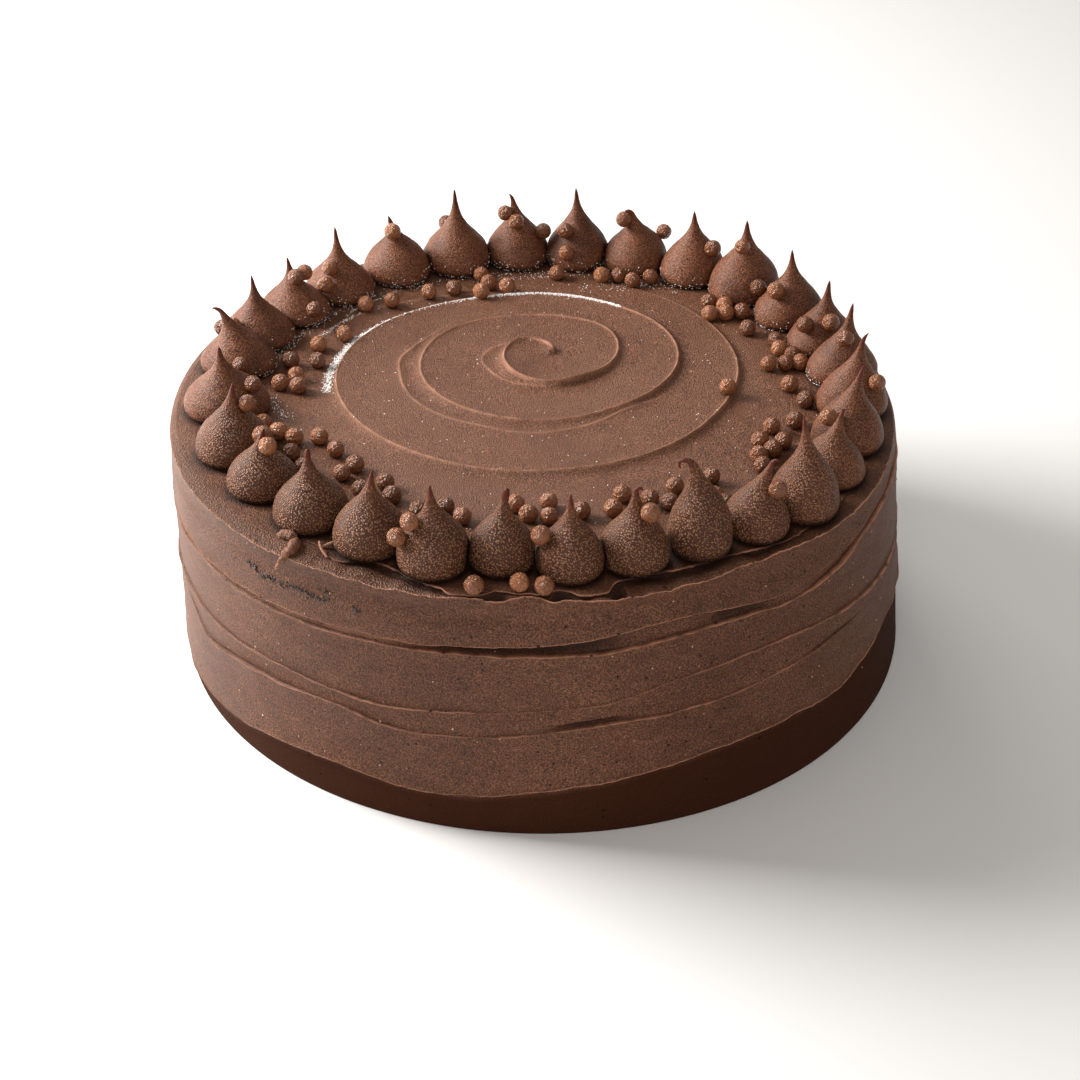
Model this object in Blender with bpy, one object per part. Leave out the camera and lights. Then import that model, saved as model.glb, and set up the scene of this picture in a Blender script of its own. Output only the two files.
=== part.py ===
"""Round ganache cake: a spread body with a spiral on its top, a ring of piped kisses and pearls.

Everything is in metres with +Z up. The cake stands on z = 0 with its middle over the origin.
A bearing goes round the cake in degrees: 0 is its front (-Y), 90 its right (+X), 180 its back.
"""
import math

import bmesh
import bpy
from mathutils import Vector
from mathutils.bvhtree import BVHTree
from mathutils.geometry import delaunay_2d_cdt

MM = 0.001

# The spread body. It leans a little: its top sits further to the left than its foot.
BODY_HEIGHT = 71.0 * MM
FOOT_RADIUS = 102.0 * MM
RIM_RADIUS = 99.2 * MM
FOOT_SHIFT = 0.35 * MM
RIM_SHIFT = -2.55 * MM
BODY_SEGMENTS = 64

# The rim: an edge stands proud along the front, and the rest of it is rounded off.
EDGE_PROUD = 1.8 * MM
EDGE_HALF_ANGLE = 74.0
ROUNDED_IN = 2.0 * MM

# The marks of the scraper. A lip stands proud, the wall is tucked in below it and a band between
# two lips lies in a little. The wall is hollow under the proud edge of the rim.
LIP_PROUD = 0.5 * MM
TUCK_IN = 0.6 * MM
BAND_IN = 0.45 * MM
HOLLOW_IN = 1.1 * MM
LIP_TO_TUCK = 1.1 * MM
LIP_TO_SHELF = 2.0 * MM
FOOT_ROUNDING = 1.6 * MM
RIM_ROUNDING = 1.4 * MM

# The scraper's lips in millimetres, from the lowest up: height at the front, climb towards the
# right, and the swells in its line, each with a bearing, a width in degrees and a rise.
LIPS = (
    (14.0, 8.5, ()),
    (29.5, 4.5, ()),
    (34.5, 0.0, ((36.0, 30.0, 9.5), (120.0, 60.0, 4.0))),
    (54.0, 2.2, ()),
    (56.2, 2.2, ((17.0, 20.0, 3.0),)),
)

# The spiral left by the palette knife, counted in turns from its start near the middle. The
# middle that it winds round wanders: millimetres at the start, for a turn and a turn squared.
SPIRAL_MIDDLE_X = (2.85, -3.9, 0.4)
SPIRAL_MIDDLE_Y = (22.5, 1.7, -1.9)
SPIRAL_START_BEARING = 97.0
SPIRAL_START_RADIUS = 2.0 * MM
SPIRAL_GROWTH = 19.1 * MM
SPIRAL_FIRST_TURN = 0.16
SPIRAL_LAST_TURN = 3.15
SPIRAL_STEPS_A_TURN = 30
SPIRAL_RISE_SHARE = 0.1
SPIRAL_FADE_SHARE = 0.12
CREST_HEIGHT = 0.7 * MM
SCOOP_HEIGHT = 0.07 * MM
CREST_TO_DROP = 1.3 * MM
CREST_TO_SCOOP = 3.0 * MM
DROP_DEPTH = 0.3 * MM
FLAT_RING_RADIUS = 88.0 * MM
FLAT_RING_POINTS = 40

# The piped kisses. Each row: bearing, ring radius, width, height, how far its tip leans to the
# right and to the back, and how full it is, from 0, slim, to 1, full. Lengths in millimetres.
KISSES = (
    (291.9, 84.3, 19.5, 21.0, 1.1, 0.0, 0.8),
    (305.0, 84.5, 17.6, 17.2, 1.4, 0.0, 0.9),
    (318.6, 84.0, 18.6, 19.7, 0.2, 0.5, 0.8),
    (332.1, 85.1, 18.4, 21.4, 1.4, 0.0, 0.8),
    (344.2, 87.2, 18.4, 22.5, -0.5, 0.0, 0.9),
    (355.2, 83.2, 17.0, 20.6, 1.3, 0.5, 0.8),
    (6.4, 86.6, 17.0, 21.2, 0.0, 0.0, 0.8),
    (17.2, 86.0, 17.8, 20.6, 0.0, 0.5, 0.7),
    (28.7, 87.2, 15.9, 25.0, -3.0, 0.5, 0.9),
    (39.6, 88.6, 16.2, 20.2, 3.4, 0.5, 0.7),
    (49.6, 91.0, 17.0, 25.4, -1.5, 3.0, 0.9),
    (61.2, 88.6, 17.0, 18.6, 2.2, 2.4, 0.8),
    (72.8, 87.9, 17.6, 22.8, 2.4, 0.6, 0.8),
    (85.0, 87.4, 18.0, 23.0, 1.8, 0.5, 0.6),
    (97.0, 87.0, 18.2, 22.2, 1.2, 0.5, 0.5),
    (108.8, 87.0, 18.4, 20.6, 0.6, 0.0, 0.5),
    (121.4, 87.2, 19.0, 21.5, -0.5, 0.0, 0.6),
    (134.6, 87.8, 20.0, 23.0, -0.3, 0.0, 0.8),
    (146.8, 87.5, 19.0, 20.5, -0.3, 0.0, 0.7),
    (159.2, 87.0, 19.0, 17.0, -1.6, 0.0, 0.8),
    (171.0, 85.6, 19.2, 22.8, -0.6, 0.0, 0.5),
    (183.2, 85.2, 19.0, 20.8, -1.8, 0.0, 0.6),
    (195.8, 84.6, 20.4, 23.7, -0.3, 0.0, 0.3),
    (208.8, 84.8, 19.4, 18.5, -1.9, 0.0, 0.8),
    (222.6, 84.2, 19.4, 20.8, -0.6, 0.0, 0.2),
    (235.2, 84.4, 19.2, 17.8, -1.1, 0.0, 0.4),
    (247.2, 84.8, 18.8, 19.7, -0.8, 0.0, 0.4),
    (258.9, 84.0, 19.6, 17.8, -4.2, 1.0, 0.4),
    (275.3, 83.6, 21.5, 18.6, -0.4, 0.5, 0.7),
)
KISS_GAP = 0.3 * MM
KISS_SPARE = 0.02 * MM
KISS_SEGMENTS = 10
KISS_OUTWARD_STRETCH = 1.02
KISS_TAIL_STRETCH = 1.2

# The outline of a kiss from its foot to its tip: share of its height, then share of its half
# width on a slim kiss and on a full one.
KISS_OUTLINE = (
    (0.0, 0.90, 0.90),
    (0.10, 1.0, 1.0),
    (0.24, 0.86, 0.98),
    (0.38, 0.56, 0.88),
    (0.52, 0.27, 0.64),
    (0.68, 0.11, 0.31),
    (0.84, 0.06, 0.12),
    (1.0, 0.03, 0.04),
)

# The chocolate pearls. Loose ones lie on the top at a bearing and a distance in millimetres.
# A pearl that would touch a kiss is moved along its radius by the first step that clears it.
PEARL_RADIUS = 2.6 * MM
PEARL_SUNK = 0.5 * MM
PEARL_SEGMENTS = 6
PEARL_RINGS = 4
PEARL_MOVES = (0.0, -0.5, 0.5, -1.0, 1.0, -1.5, 1.5, -2.5, -3.5)
PEARLS_ON_TOP = (
    ((352.0, 97.3), (358.4, 95.2), (2.0, 96.6)),
    ((356.2, 59.6), (359.4, 64.4), (4.4, 58.6), (4.0, 65.6), (11.3, 64.2)),
    ((18.6, 65.0), (22.9, 59.6), (28.0, 64.2), (31.2, 68.2), (36.0, 62.6)),
    ((39.8, 77.6), (40.2, 72.2), (40.8, 67.0), (45.2, 65.4)),
    ((56.0, 72.4), (59.4, 69.1), (63.0, 71.0), (65.5, 66.2), (67.2, 72.0), (72.5, 67.0)),
    ((76.4, 72.5), (85.3, 75.0), (90.0, 53.5), (92.2, 70.7)),
    ((102.2, 67.3), (101.8, 72.1), (101.4, 77.2), (105.0, 75.4), (108.4, 73.2), (112.2, 74.4)),
    ((119.7, 70.7), (126.9, 75.7), (128.8, 71.6), (130.9, 67.7), (131.5, 75.4), (135.3, 73.0)),
    ((152.8, 76.2), (155.8, 72.0), (159.7, 74.9), (163.5, 72.0), (174.2, 70.7)),
    ((187.0, 62.3), (191.5, 65.4), (192.5, 71.5), (194.6, 59.8), (201.0, 65.0), (207.7, 65.6)),
    ((218.1, 66.6), (224.2, 69.6), (239.0, 62.3), (247.1, 65.5), (255.0, 62.0)),
    ((256.5, 69.3), (263.2, 65.6), (267.4, 69.3), (268.6, 64.0)),
    ((284.6, 74.0), (289.2, 71.2), (292.8, 68.0), (294.8, 61.8), (298.6, 71.6)),
    ((302.4, 60.8), (304.8, 73.0), (311.2, 60.8), (312.2, 66.0), (320.4, 68.1)),
    ((322.6, 61.6), (327.4, 65.6), (335.7, 68.8), (340.4, 64.2), (345.2, 67.4)),
)

# Pearls stuck to kisses: kiss number, bearing round the kiss, share of the kiss's height. One
# that would touch another kiss is turned round its own by the first step that clears it.
PEARLS_ON_KISSES = (
    (1, 84.8, 0.72),
    (2, 33.5, 0.80),
    (2, 181.8, 0.76),
    (5, 299.6, 0.61),
    (5, 292.5, 0.43),
    (7, 284.9, 0.50),
    (8, 54.5, 0.72),
    (10, 45.7, 0.66),
    (13, 307.5, 0.47),
    (14, 40.8, 0.48),
    (15, 346.4, 0.63),
    (16, 310.1, 0.46),
    (16, 7.0, 0.52),
    (17, 253.2, 0.38),
    (17, 316.5, 0.52),
    (18, 339.2, 0.72),
    (19, 45.8, 0.53),
    (20, 298.9, 0.87),
    (20, 116.0, 0.47),
    (21, 328.3, 0.51),
    (21, 342.3, 0.29),
    (22, 306.7, 0.74),
    (22, 3.1, 0.66),
    (22, 70.2, 0.47),
    (23, 200.4, 0.36),
    (24, 6.7, 0.81),
    (25, 342.6, 0.50),
    (25, 332.9, 0.32),
    (26, 32.5, 0.73),
    (26, 109.4, 0.69),
    (26, 38.6, 0.31),
    (27, 334.1, 0.37),
    (28, 209.7, 0.46),
    (28, 14.1, 0.33),
    (29, 67.3, 0.50),
)
PEARL_TURNS = (0.0, 8.0, -8.0, 16.0, -16.0, 24.0, -24.0, 32.0, -32.0, 45.0, -45.0)
PEARL_SEARCH_STEPS = 60

# Edges that meet at more than this many degrees are shaded sharp.
SHARP_FROM = 65.0


def polar(bearing, distance, height=0.0, shift=0.0):
    """Give the point at a bearing in degrees and a distance from an axis shifted along X."""
    turn = math.radians(bearing)
    return Vector((shift + distance * math.sin(turn), -distance * math.cos(turn), height))


def swell(bearing, middle, width):
    """Give 1 at the middle bearing, falling away smoothly over the width on either side."""
    apart = (bearing - middle + 180.0) % 360.0 - 180.0
    return math.exp(-((apart / width) ** 2))


def lip_heights(bearing):
    """Give the heights of the scraper's lips at a bearing, from the lowest up."""
    heights = []
    for front, climb, swells in LIPS:
        height = front + climb * math.sin(math.radians(bearing))
        height += sum(rise * swell(bearing, middle, width) for middle, width, rise in swells)
        heights.append(height * MM)
    return heights


def wall_column(bearing):
    """Give the wall's points at a bearing from the foot to the rim, as many at every bearing."""
    lowest, second, third, fourth, fifth = lip_heights(bearing)
    from_front = (bearing + 180.0) % 360.0 - 180.0
    edge = 1.0 / (1.0 + (from_front / EDGE_HALF_ANGLE) ** 8)
    rim = edge * EDGE_PROUD - (1.0 - edge) * ROUNDED_IN
    rows = [
        (0.0, -TUCK_IN),
        (FOOT_ROUNDING, 0.0),
        (lowest / 2.0, -BAND_IN),
        (lowest - LIP_TO_TUCK, -TUCK_IN),
        (lowest, LIP_PROUD),
        (lowest + LIP_TO_SHELF, -BAND_IN),
        ((lowest + second) / 2.0, -BAND_IN),
        (second - LIP_TO_TUCK, -TUCK_IN),
        (second, LIP_PROUD / 2.0),
        ((second + third) / 2.0, -TUCK_IN),
        (third, LIP_PROUD),
        (third + LIP_TO_SHELF, -BAND_IN),
        ((third + fourth) / 2.0, -BAND_IN),
        (fourth - LIP_TO_TUCK, -TUCK_IN),
        (fourth, LIP_PROUD),
        ((fourth + fifth) / 2.0, -TUCK_IN),
        (fifth, LIP_PROUD),
        (fifth + LIP_TO_SHELF, -TUCK_IN),
        ((fifth + LIP_TO_SHELF + BODY_HEIGHT) / 2.0, -edge * HOLLOW_IN),
        (BODY_HEIGHT - RIM_ROUNDING, rim / 2.0),
        (BODY_HEIGHT, rim),
    ]
    points = []
    for height, proud in rows:
        share = height / BODY_HEIGHT
        radius = FOOT_RADIUS + (RIM_RADIUS - FOOT_RADIUS) * share + proud
        shift = FOOT_SHIFT + (RIM_SHIFT - FOOT_SHIFT) * share
        points.append(polar(bearing, radius, height, shift))
    return points


def spiral_point(turn, aside=0.0):
    """Give a point of the spiral's crest seen from above, or one set aside from it outward."""
    powers = (1.0, turn, turn * turn)
    middle_x = sum(size * power for size, power in zip(SPIRAL_MIDDLE_X, powers))
    middle_y = sum(size * power for size, power in zip(SPIRAL_MIDDLE_Y, powers))
    radius = SPIRAL_START_RADIUS + SPIRAL_GROWTH * turn + aside
    point = polar(SPIRAL_START_BEARING + 360.0 * turn, radius)
    return point + Vector((middle_x, middle_y, 0.0)) * MM


def top_points(rim):
    """Give the top's points, with the edges it has to keep: its rim and the spiral's lines."""
    points = list(rim)
    edges = [(index, (index + 1) % len(rim)) for index in range(len(rim))]
    steps = round((SPIRAL_LAST_TURN - SPIRAL_FIRST_TURN) * SPIRAL_STEPS_A_TURN)
    lines = (
        (0.0, CREST_HEIGHT),
        (CREST_TO_DROP, -DROP_DEPTH),
        (-CREST_TO_SCOOP, SCOOP_HEIGHT),
    )
    for aside, height in lines:
        first = len(points)
        for step in range(steps + 1):
            share = step / steps
            turn = SPIRAL_FIRST_TURN + (SPIRAL_LAST_TURN - SPIRAL_FIRST_TURN) * share
            fade = min(1.0, share / SPIRAL_RISE_SHARE, (1.0 - share) / SPIRAL_FADE_SHARE)
            point = spiral_point(turn, aside)
            point.z = BODY_HEIGHT + fade * height
            points.append(point)
        edges.extend((index, index + 1) for index in range(first, first + steps))
    for index in range(FLAT_RING_POINTS):
        bearing = 360.0 * index / FLAT_RING_POINTS
        points.append(polar(bearing, FLAT_RING_RADIUS, BODY_HEIGHT, RIM_SHIFT))
    return points, edges


def body_mesh():
    """Make the body: its foot, its scraped wall and its top with the spiral."""
    mesh = bmesh.new()
    bearings = [360.0 * index / BODY_SEGMENTS for index in range(BODY_SEGMENTS)]
    columns = [[mesh.verts.new(point) for point in wall_column(b)] for b in bearings]
    for left, right in zip(columns, columns[1:] + columns[:1]):
        for low in range(len(left) - 1):
            mesh.faces.new((left[low], right[low], right[low + 1], left[low + 1]))
    mesh.faces.new([column[0] for column in reversed(columns)])
    rim = [column[-1] for column in columns]
    points, edges = top_points([vert.co.copy() for vert in rim])
    flat = [point.to_2d() for point in points]
    plan, _, faces, sources, _, _ = delaunay_2d_cdt(flat, edges, [], 1, 1e-6)
    verts = []
    for place, source in zip(plan, sources):
        if source and source[0] < len(rim):
            verts.append(rim[source[0]])
            continue
        height = points[source[0]].z if source else BODY_HEIGHT
        verts.append(mesh.verts.new((place.x, place.y, height)))
    for face in faces:
        mesh.faces.new([verts[index] for index in face])
    bmesh.ops.recalc_face_normals(mesh, faces=mesh.faces)
    return mesh


def kiss_mesh(number):
    """Make one kiss, its sides kept half a gap short of the planes midway to its neighbours."""
    bearing, ring_mm, width_mm, height_mm, right_mm, back_mm, fullness = KISSES[number]
    foot = polar(bearing, ring_mm * MM, BODY_HEIGHT + KISS_GAP, RIM_SHIFT)
    outward = polar(bearing, 1.0)
    onward = polar(bearing + 90.0, 1.0)
    axis = Vector((RIM_SHIFT, 0.0, 0.0))
    fences = []
    for step in (-1, 1):
        apart = (KISSES[(number + step) % len(KISSES)][0] - bearing + 180.0) % 360.0 - 180.0
        fences.append(polar(bearing + apart / 2.0 + 90.0 * step, 1.0))
    mesh = bmesh.new()
    rings = []
    for height_share, slim_share, full_share in KISS_OUTLINE:
        half = width_mm * MM / 2.0 * (slim_share + (full_share - slim_share) * fullness)
        lean = Vector((right_mm, back_mm, 0.0)) * MM * height_share ** 3
        tail = 1.0 + (KISS_TAIL_STRETCH - 1.0) * (1.0 - height_share) ** 2
        ring = []
        for index in range(KISS_SEGMENTS):
            turn = 2.0 * math.pi * index / KISS_SEGMENTS
            along = half * math.cos(turn)
            along *= KISS_OUTWARD_STRETCH if along > 0.0 else tail
            point = foot + lean + outward * along + onward * half * math.sin(turn)
            point.z += height_share * height_mm * MM
            for fence in fences:
                beyond = (point - axis).dot(fence) + KISS_GAP / 2.0 + KISS_SPARE
                if beyond > 0.0:
                    point -= fence * beyond
            ring.append(mesh.verts.new(point))
        rings.append(ring)
    for low, high in zip(rings, rings[1:]):
        for index in range(KISS_SEGMENTS):
            after = (index + 1) % KISS_SEGMENTS
            mesh.faces.new((low[index], low[after], high[after], high[index]))
    mesh.faces.new(list(reversed(rings[0])))
    mesh.faces.new(rings[-1])
    bmesh.ops.recalc_face_normals(mesh, faces=mesh.faces)
    return mesh


def material(name, colour, roughness):
    """Make a plain material for one of the cake's finishes."""
    made = bpy.data.materials.new(name)
    made.use_nodes = True
    shader = made.node_tree.nodes["Principled BSDF"]
    shader.inputs["Base Color"].default_value = (*colour, 1.0)
    shader.inputs["Roughness"].default_value = roughness
    shader.inputs["Metallic"].default_value = 0.0
    return made


def add_object(name, mesh, finish):
    """Put a finished bmesh in the scene as an object of its own."""
    data = bpy.data.meshes.new(name)
    mesh.to_mesh(data)
    mesh.free()
    data.materials.append(finish)
    data.shade_smooth()
    data.set_sharp_from_angle(angle=math.radians(SHARP_FROM))
    made = bpy.data.objects.new(name, data)
    bpy.context.scene.collection.objects.link(made)
    return made


def pearl_mesh(centre):
    """Make one pearl round its centre."""
    mesh = bmesh.new()
    bmesh.ops.create_uvsphere(
        mesh, u_segments=PEARL_SEGMENTS, v_segments=PEARL_RINGS, radius=PEARL_RADIUS)
    bmesh.ops.translate(mesh, verts=mesh.verts, vec=centre)
    return mesh


def fuse_pearls(carrier, centres, finish):
    """Join pearls to the object that carries them, as one closed body."""
    if not centres:
        return
    group = bpy.data.collections.new(carrier.name + "_pearls")
    for index, centre in enumerate(centres):
        pearl = add_object(f"{carrier.name}_pearl_{index}", pearl_mesh(centre), finish)
        bpy.context.scene.collection.objects.unlink(pearl)
        group.objects.link(pearl)
    union = carrier.modifiers.new("Pearls", "BOOLEAN")
    union.operation = "UNION"
    union.operand_type = "COLLECTION"
    union.collection = group
    union.solver = "EXACT"
    graph = bpy.context.evaluated_depsgraph_get()
    fused = bpy.data.meshes.new_from_object(carrier.evaluated_get(graph))
    carrier.modifiers.remove(union)
    fused.set_sharp_from_angle(angle=math.radians(SHARP_FROM))
    carrier.data = fused
    for pearl in list(group.objects):
        bpy.data.objects.remove(pearl)
    bpy.data.collections.remove(group)


def surface_of(item):
    """Give the search tree of an object's faces."""
    mesh = bmesh.new()
    mesh.from_mesh(item.data)
    tree = BVHTree.FromBMesh(mesh)
    mesh.free()
    return tree


def pearl_on_kiss(number, bearing, share, surfaces):
    """Give the centre of a pearl on a kiss, turned until it is clear of the other kisses."""
    foot_bearing, ring_mm, width_mm, height_mm, right_mm, back_mm, _ = KISSES[number]
    axis = polar(foot_bearing, ring_mm * MM, 0.0, RIM_SHIFT)
    axis += Vector((right_mm, back_mm, 0.0)) * MM * share ** 3
    axis.z = BODY_HEIGHT + KISS_GAP + share * height_mm * MM
    lowest = BODY_HEIGHT + PEARL_RADIUS + KISS_GAP
    others = [tree for index, tree in enumerate(surfaces) if index != number]
    for turned in PEARL_TURNS:
        away = polar(bearing + turned, 1.0)
        reach = width_mm * MM
        for _ in range(PEARL_SEARCH_STEPS):
            apart = surfaces[number].find_nearest(axis + away * reach)[3]
            reach -= apart - (PEARL_RADIUS - PEARL_SUNK)
        centre = axis + away * reach
        nearest = min(tree.find_nearest(centre)[3] for tree in others)
        if nearest > PEARL_RADIUS + KISS_GAP and centre.z > lowest:
            return centre
    return None


def pearl_on_top(bearing, distance, surfaces):
    """Give the centre of a pearl on the top, moved along its radius until clear of kisses."""
    for moved in PEARL_MOVES:
        centre = polar(bearing, (distance + moved) * MM, 0.0, RIM_SHIFT)
        centre.z = BODY_HEIGHT + PEARL_RADIUS - PEARL_SUNK
        nearest = min(tree.find_nearest(centre)[3] for tree in surfaces)
        if nearest > PEARL_RADIUS + KISS_GAP:
            return centre
    return None


for old in list(bpy.data.objects):
    bpy.data.objects.remove(old)

ganache = material("ganache", (0.145, 0.064, 0.038), 0.5)
piped_ganache = material("piped_ganache", (0.10, 0.043, 0.026), 0.45)
pearl_chocolate = material("pearl_chocolate", (0.25, 0.10, 0.045), 0.3)

body = add_object("cake_body", body_mesh(), ganache)
kisses = []
for kiss_index in range(len(KISSES)):
    kiss_name = f"kiss_{kiss_index + 1:02d}"
    kisses.append(add_object(kiss_name, kiss_mesh(kiss_index), piped_ganache))
kiss_surfaces = [surface_of(kiss) for kiss in kisses]

centres_on_kisses = {}
for kiss_number, pearl_bearing, pearl_share in PEARLS_ON_KISSES:
    place = pearl_on_kiss(kiss_number - 1, pearl_bearing, pearl_share, kiss_surfaces)
    if place is not None:
        centres_on_kisses.setdefault(kiss_number - 1, []).append(place)
for kiss_index, places in centres_on_kisses.items():
    fuse_pearls(kisses[kiss_index], places, pearl_chocolate)

every_surface = [surface_of(kiss) for kiss in kisses]
centres_on_top = []
for run in PEARLS_ON_TOP:
    for pearl_bearing, pearl_distance in run:
        place = pearl_on_top(pearl_bearing, pearl_distance, every_surface)
        if place is not None:
            centres_on_top.append(place)
fuse_pearls(body, centres_on_top, pearl_chocolate)
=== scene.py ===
"""Looks of the round ganache cake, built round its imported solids. Metres, +Z up.

A bearing goes round the cake in degrees: 0 is its front (-Y), 90 its right (+X), 180 its back.
"""

import math

import bmesh
import bpy
import numpy as np
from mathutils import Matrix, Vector, kdtree, noise
from mathutils.bvhtree import BVHTree
from mathutils.geometry import delaunay_2d_cdt


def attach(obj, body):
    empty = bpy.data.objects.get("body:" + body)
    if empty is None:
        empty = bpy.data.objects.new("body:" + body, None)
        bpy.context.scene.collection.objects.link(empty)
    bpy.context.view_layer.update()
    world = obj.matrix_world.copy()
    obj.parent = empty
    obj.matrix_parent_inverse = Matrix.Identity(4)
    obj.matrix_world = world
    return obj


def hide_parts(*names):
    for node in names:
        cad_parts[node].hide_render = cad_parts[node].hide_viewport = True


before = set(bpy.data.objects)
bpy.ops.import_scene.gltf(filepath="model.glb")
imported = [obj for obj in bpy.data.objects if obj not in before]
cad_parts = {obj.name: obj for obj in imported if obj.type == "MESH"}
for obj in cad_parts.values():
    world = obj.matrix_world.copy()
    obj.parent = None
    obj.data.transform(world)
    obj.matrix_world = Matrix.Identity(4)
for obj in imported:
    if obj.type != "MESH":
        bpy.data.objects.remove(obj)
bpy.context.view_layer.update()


# The side of the cake.
# A coat of set chocolate ganache over the stacked layers, dragged smooth with a scraper in
# several passes. Each pass leaves a thin lip where it ends, and the front of the rim a torn one.
MM = 0.001
BODY_HEIGHT = 71.0 * MM
FOOT_RADIUS = 102.0 * MM
RIM_RADIUS = 99.2 * MM
FOOT_SHIFT = 0.35 * MM
RIM_SHIFT = -2.55 * MM
EDGE_HALF_ANGLE = 74.0
SIDE_INNER_RADIUS = 86.0 * MM
FRONT_STEP = 0.36
BACK_STEP = 0.62

# Each lip of the scraper: its line as (bearing, height in mm), how strong it is along that line
# as (bearing, share), and whether the ganache stands out below the line (1) or above it (-1).
LIPS = (
    (((-54, 6.7), (-42, 10.6), (-31, 12.3), (-21, 11.1), (-11, 11.2), (-1, 13.5), (14, 17.0),
      (26, 19.4), (41, 19.8), (52, 19.1), (63, 22.1), (78, 23.6), (120, 21.0), (165, 16.5),
      (215, 9.5), (260, 6.5)),
     ((-80, 0.5), (-50, 0.9), (60, 1.0), (120, 0.9), (200, 0.8)), -1),
    (((-66, 28.0), (-62, 25.0), (-52, 27.2), (-42, 29.0), (-30, 30.4), (-21, 28.3), (-11, 29.1),
      (0, 31.3), (10, 33.2), (20, 33.5), (35, 34.8), (51, 35.7), (90, 33.5), (150, 31.0),
      (210, 27.5), (260, 26.2)),
     ((-70, 0.0), (-62, 0.8), (-30, 0.6), (0, 0.55), (12, 0.6), (40, 0.35), (56, 0.0), (90, 0.4),
      (150, 0.8), (240, 0.7)), 1),
    (((-72, 33.2), (-52, 33.3), (-42, 34.7), (-22, 34.6), (-11, 36.5), (0, 38.1), (10, 39.2),
      (21, 43.2), (31, 44.4), (41, 44.1), (51, 42.0), (63, 39.4), (90, 38.6), (150, 37.4),
      (220, 34.6)),
     ((-70, 0.7), (-20, 0.5), (5, 0.3), (30, 0.4), (45, 0.7), (60, 0.8), (130, 0.7), (220, 0.8)), 1),
    (((-62, 50.2), (-43, 51.2), (-32, 52.2), (-21, 53.0), (-11, 53.8), (1, 54.2), (10, 54.3),
      (20, 55.9), (31, 56.1), (41, 54.7), (50, 56.0), (60, 59.1), (80, 61.6), (120, 60.0),
      (170, 55.8), (230, 51.6), (270, 50.2)),
     ((-62, 0.7), (-20, 0.8), (0, 1.0), (60, 1.0), (120, 0.8), (230, 0.8)), 1),
    (((-62, 51.9), (-43, 53.0), (-32, 54.2), (-21, 55.2), (-11, 56.0), (1, 57.5), (10, 59.0),
      (21, 61.0), (31, 59.4), (38, 57.8), (50, 58.6), (60, 61.0), (80, 63.6), (120, 62.4),
      (170, 58.0), (230, 53.6), (270, 51.9)),
     ((-62, 0.8), (-40, 0.9), (0, 0.8), (30, 0.7), (42, 0.2), (60, 0.3), (120, 0.6), (230, 0.7)), -1),
)
LIP_PROUD = 0.42 * MM
LIP_BEFORE = 2.8 * MM
LIP_AFTER = 2.0 * MM
BURR_PROUD = 0.24 * MM
BURR_HALF_WIDTH = 0.11 * MM

# Heights of the wall's rows of points in mm: at the foot, round each lip and below the rim. The
# shares place rows between one lip and the next.
FOOT_ROWS = (0.0, 0.5, 1.2, 2.2, 4.0)
LIP_ROWS = (-2.4, -1.2, -0.5, -0.16, -0.05, 0.0, 0.05, 0.15, 0.5, 1.2, 2.4)
ROWS_BETWEEN = (0.2, 0.35, 0.5, 0.65, 0.8)
LAST_LIP_TOP = 66.0 * MM
RIM_ROWS = (66.3, 67.0, 67.7, 68.3, 68.9, 69.4, 69.8)

# Slits where one pass did not reach the next: lip, middle bearing, half length, depth and height
# above the lip in mm. No height takes it up to the next lip.
SLITS = (
    (3, -2.0, 15.0, 2.2, None),
    (3, 31.5, 5.0, 1.4, None),
    (1, 7.5, 5.0, 1.6, 1.5),
    (1, 50.0, 6.0, 0.9, 0.9),
    (0, 20.0, 30.0, 0.25, 1.2),
)

# The rim's outer edge and the torn edge of the top coat just behind it: (bearing, distance in mm
# from the middle of the top), then how far the coat stands over the rim as (bearing, mm).
RIM_EDGE = ((-90, 97.8), (-75, 98.9), (-60, 100.3), (-48, 100.8), (-41, 101.1), (-34, 100.7),
            (-27, 100.3), (-21, 99.9), (-12, 100.0), (-7.3, 99.6), (-5.5, 100.4), (-3.5, 99.8),
            (-2.7, 98.9), (2.0, 98.9), (2.7, 99.8), (4.8, 99.7), (6.1, 99.9), (9.5, 100.7),
            (15.1, 100.7), (19.8, 99.6), (25.8, 99.8), (33.3, 98.9), (39.3, 99.4), (45.3, 100.9),
            (52, 101.2), (63, 100.4), (75, 99.0), (90, 97.8), (110, 97.3), (180, 97.2), (250, 97.3))
COAT_EDGE = ((-90, 96), (-60, 95.5), (-42, 94.0), (-34.2, 92.8), (-31, 95.4), (-28.6, 95.0),
             (-27, 92.8), (-24.1, 91.8), (-20.8, 93.0), (-17.8, 95.3), (-15.3, 96.4), (-13, 97.2),
             (-11.5, 99.2), (-8.3, 99.2), (-7, 98.4), (-5.5, 96.8), (-2.9, 96.8), (0, 97.9),
             (2.1, 97.2), (4, 95.8), (5.6, 97.0), (7.2, 98.6), (9.7, 98.8), (11.1, 98.0),
             (12.3, 94.9), (14.1, 94.0), (19.6, 93.6), (26.2, 93.9), (33.2, 94.5), (36.3, 95.7),
             (38.6, 96.6), (50, 96.4), (75, 95), (110, 94), (250, 94))
RIM_SLOTS = ((-5.3, 2.1), (4.3, 1.9), (12.4, 1.1))
COAT_STEPS = ((-90, 0), (-40, 0.0), (-34, 0.5), (-30, 0.9), (-12, 1.1), (0, 0.8), (10, 1.0),
              (13, 1.3), (30, 1.1), (44, 0.8), (58, 0.3), (75, 0.0), (180, 0))


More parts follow.
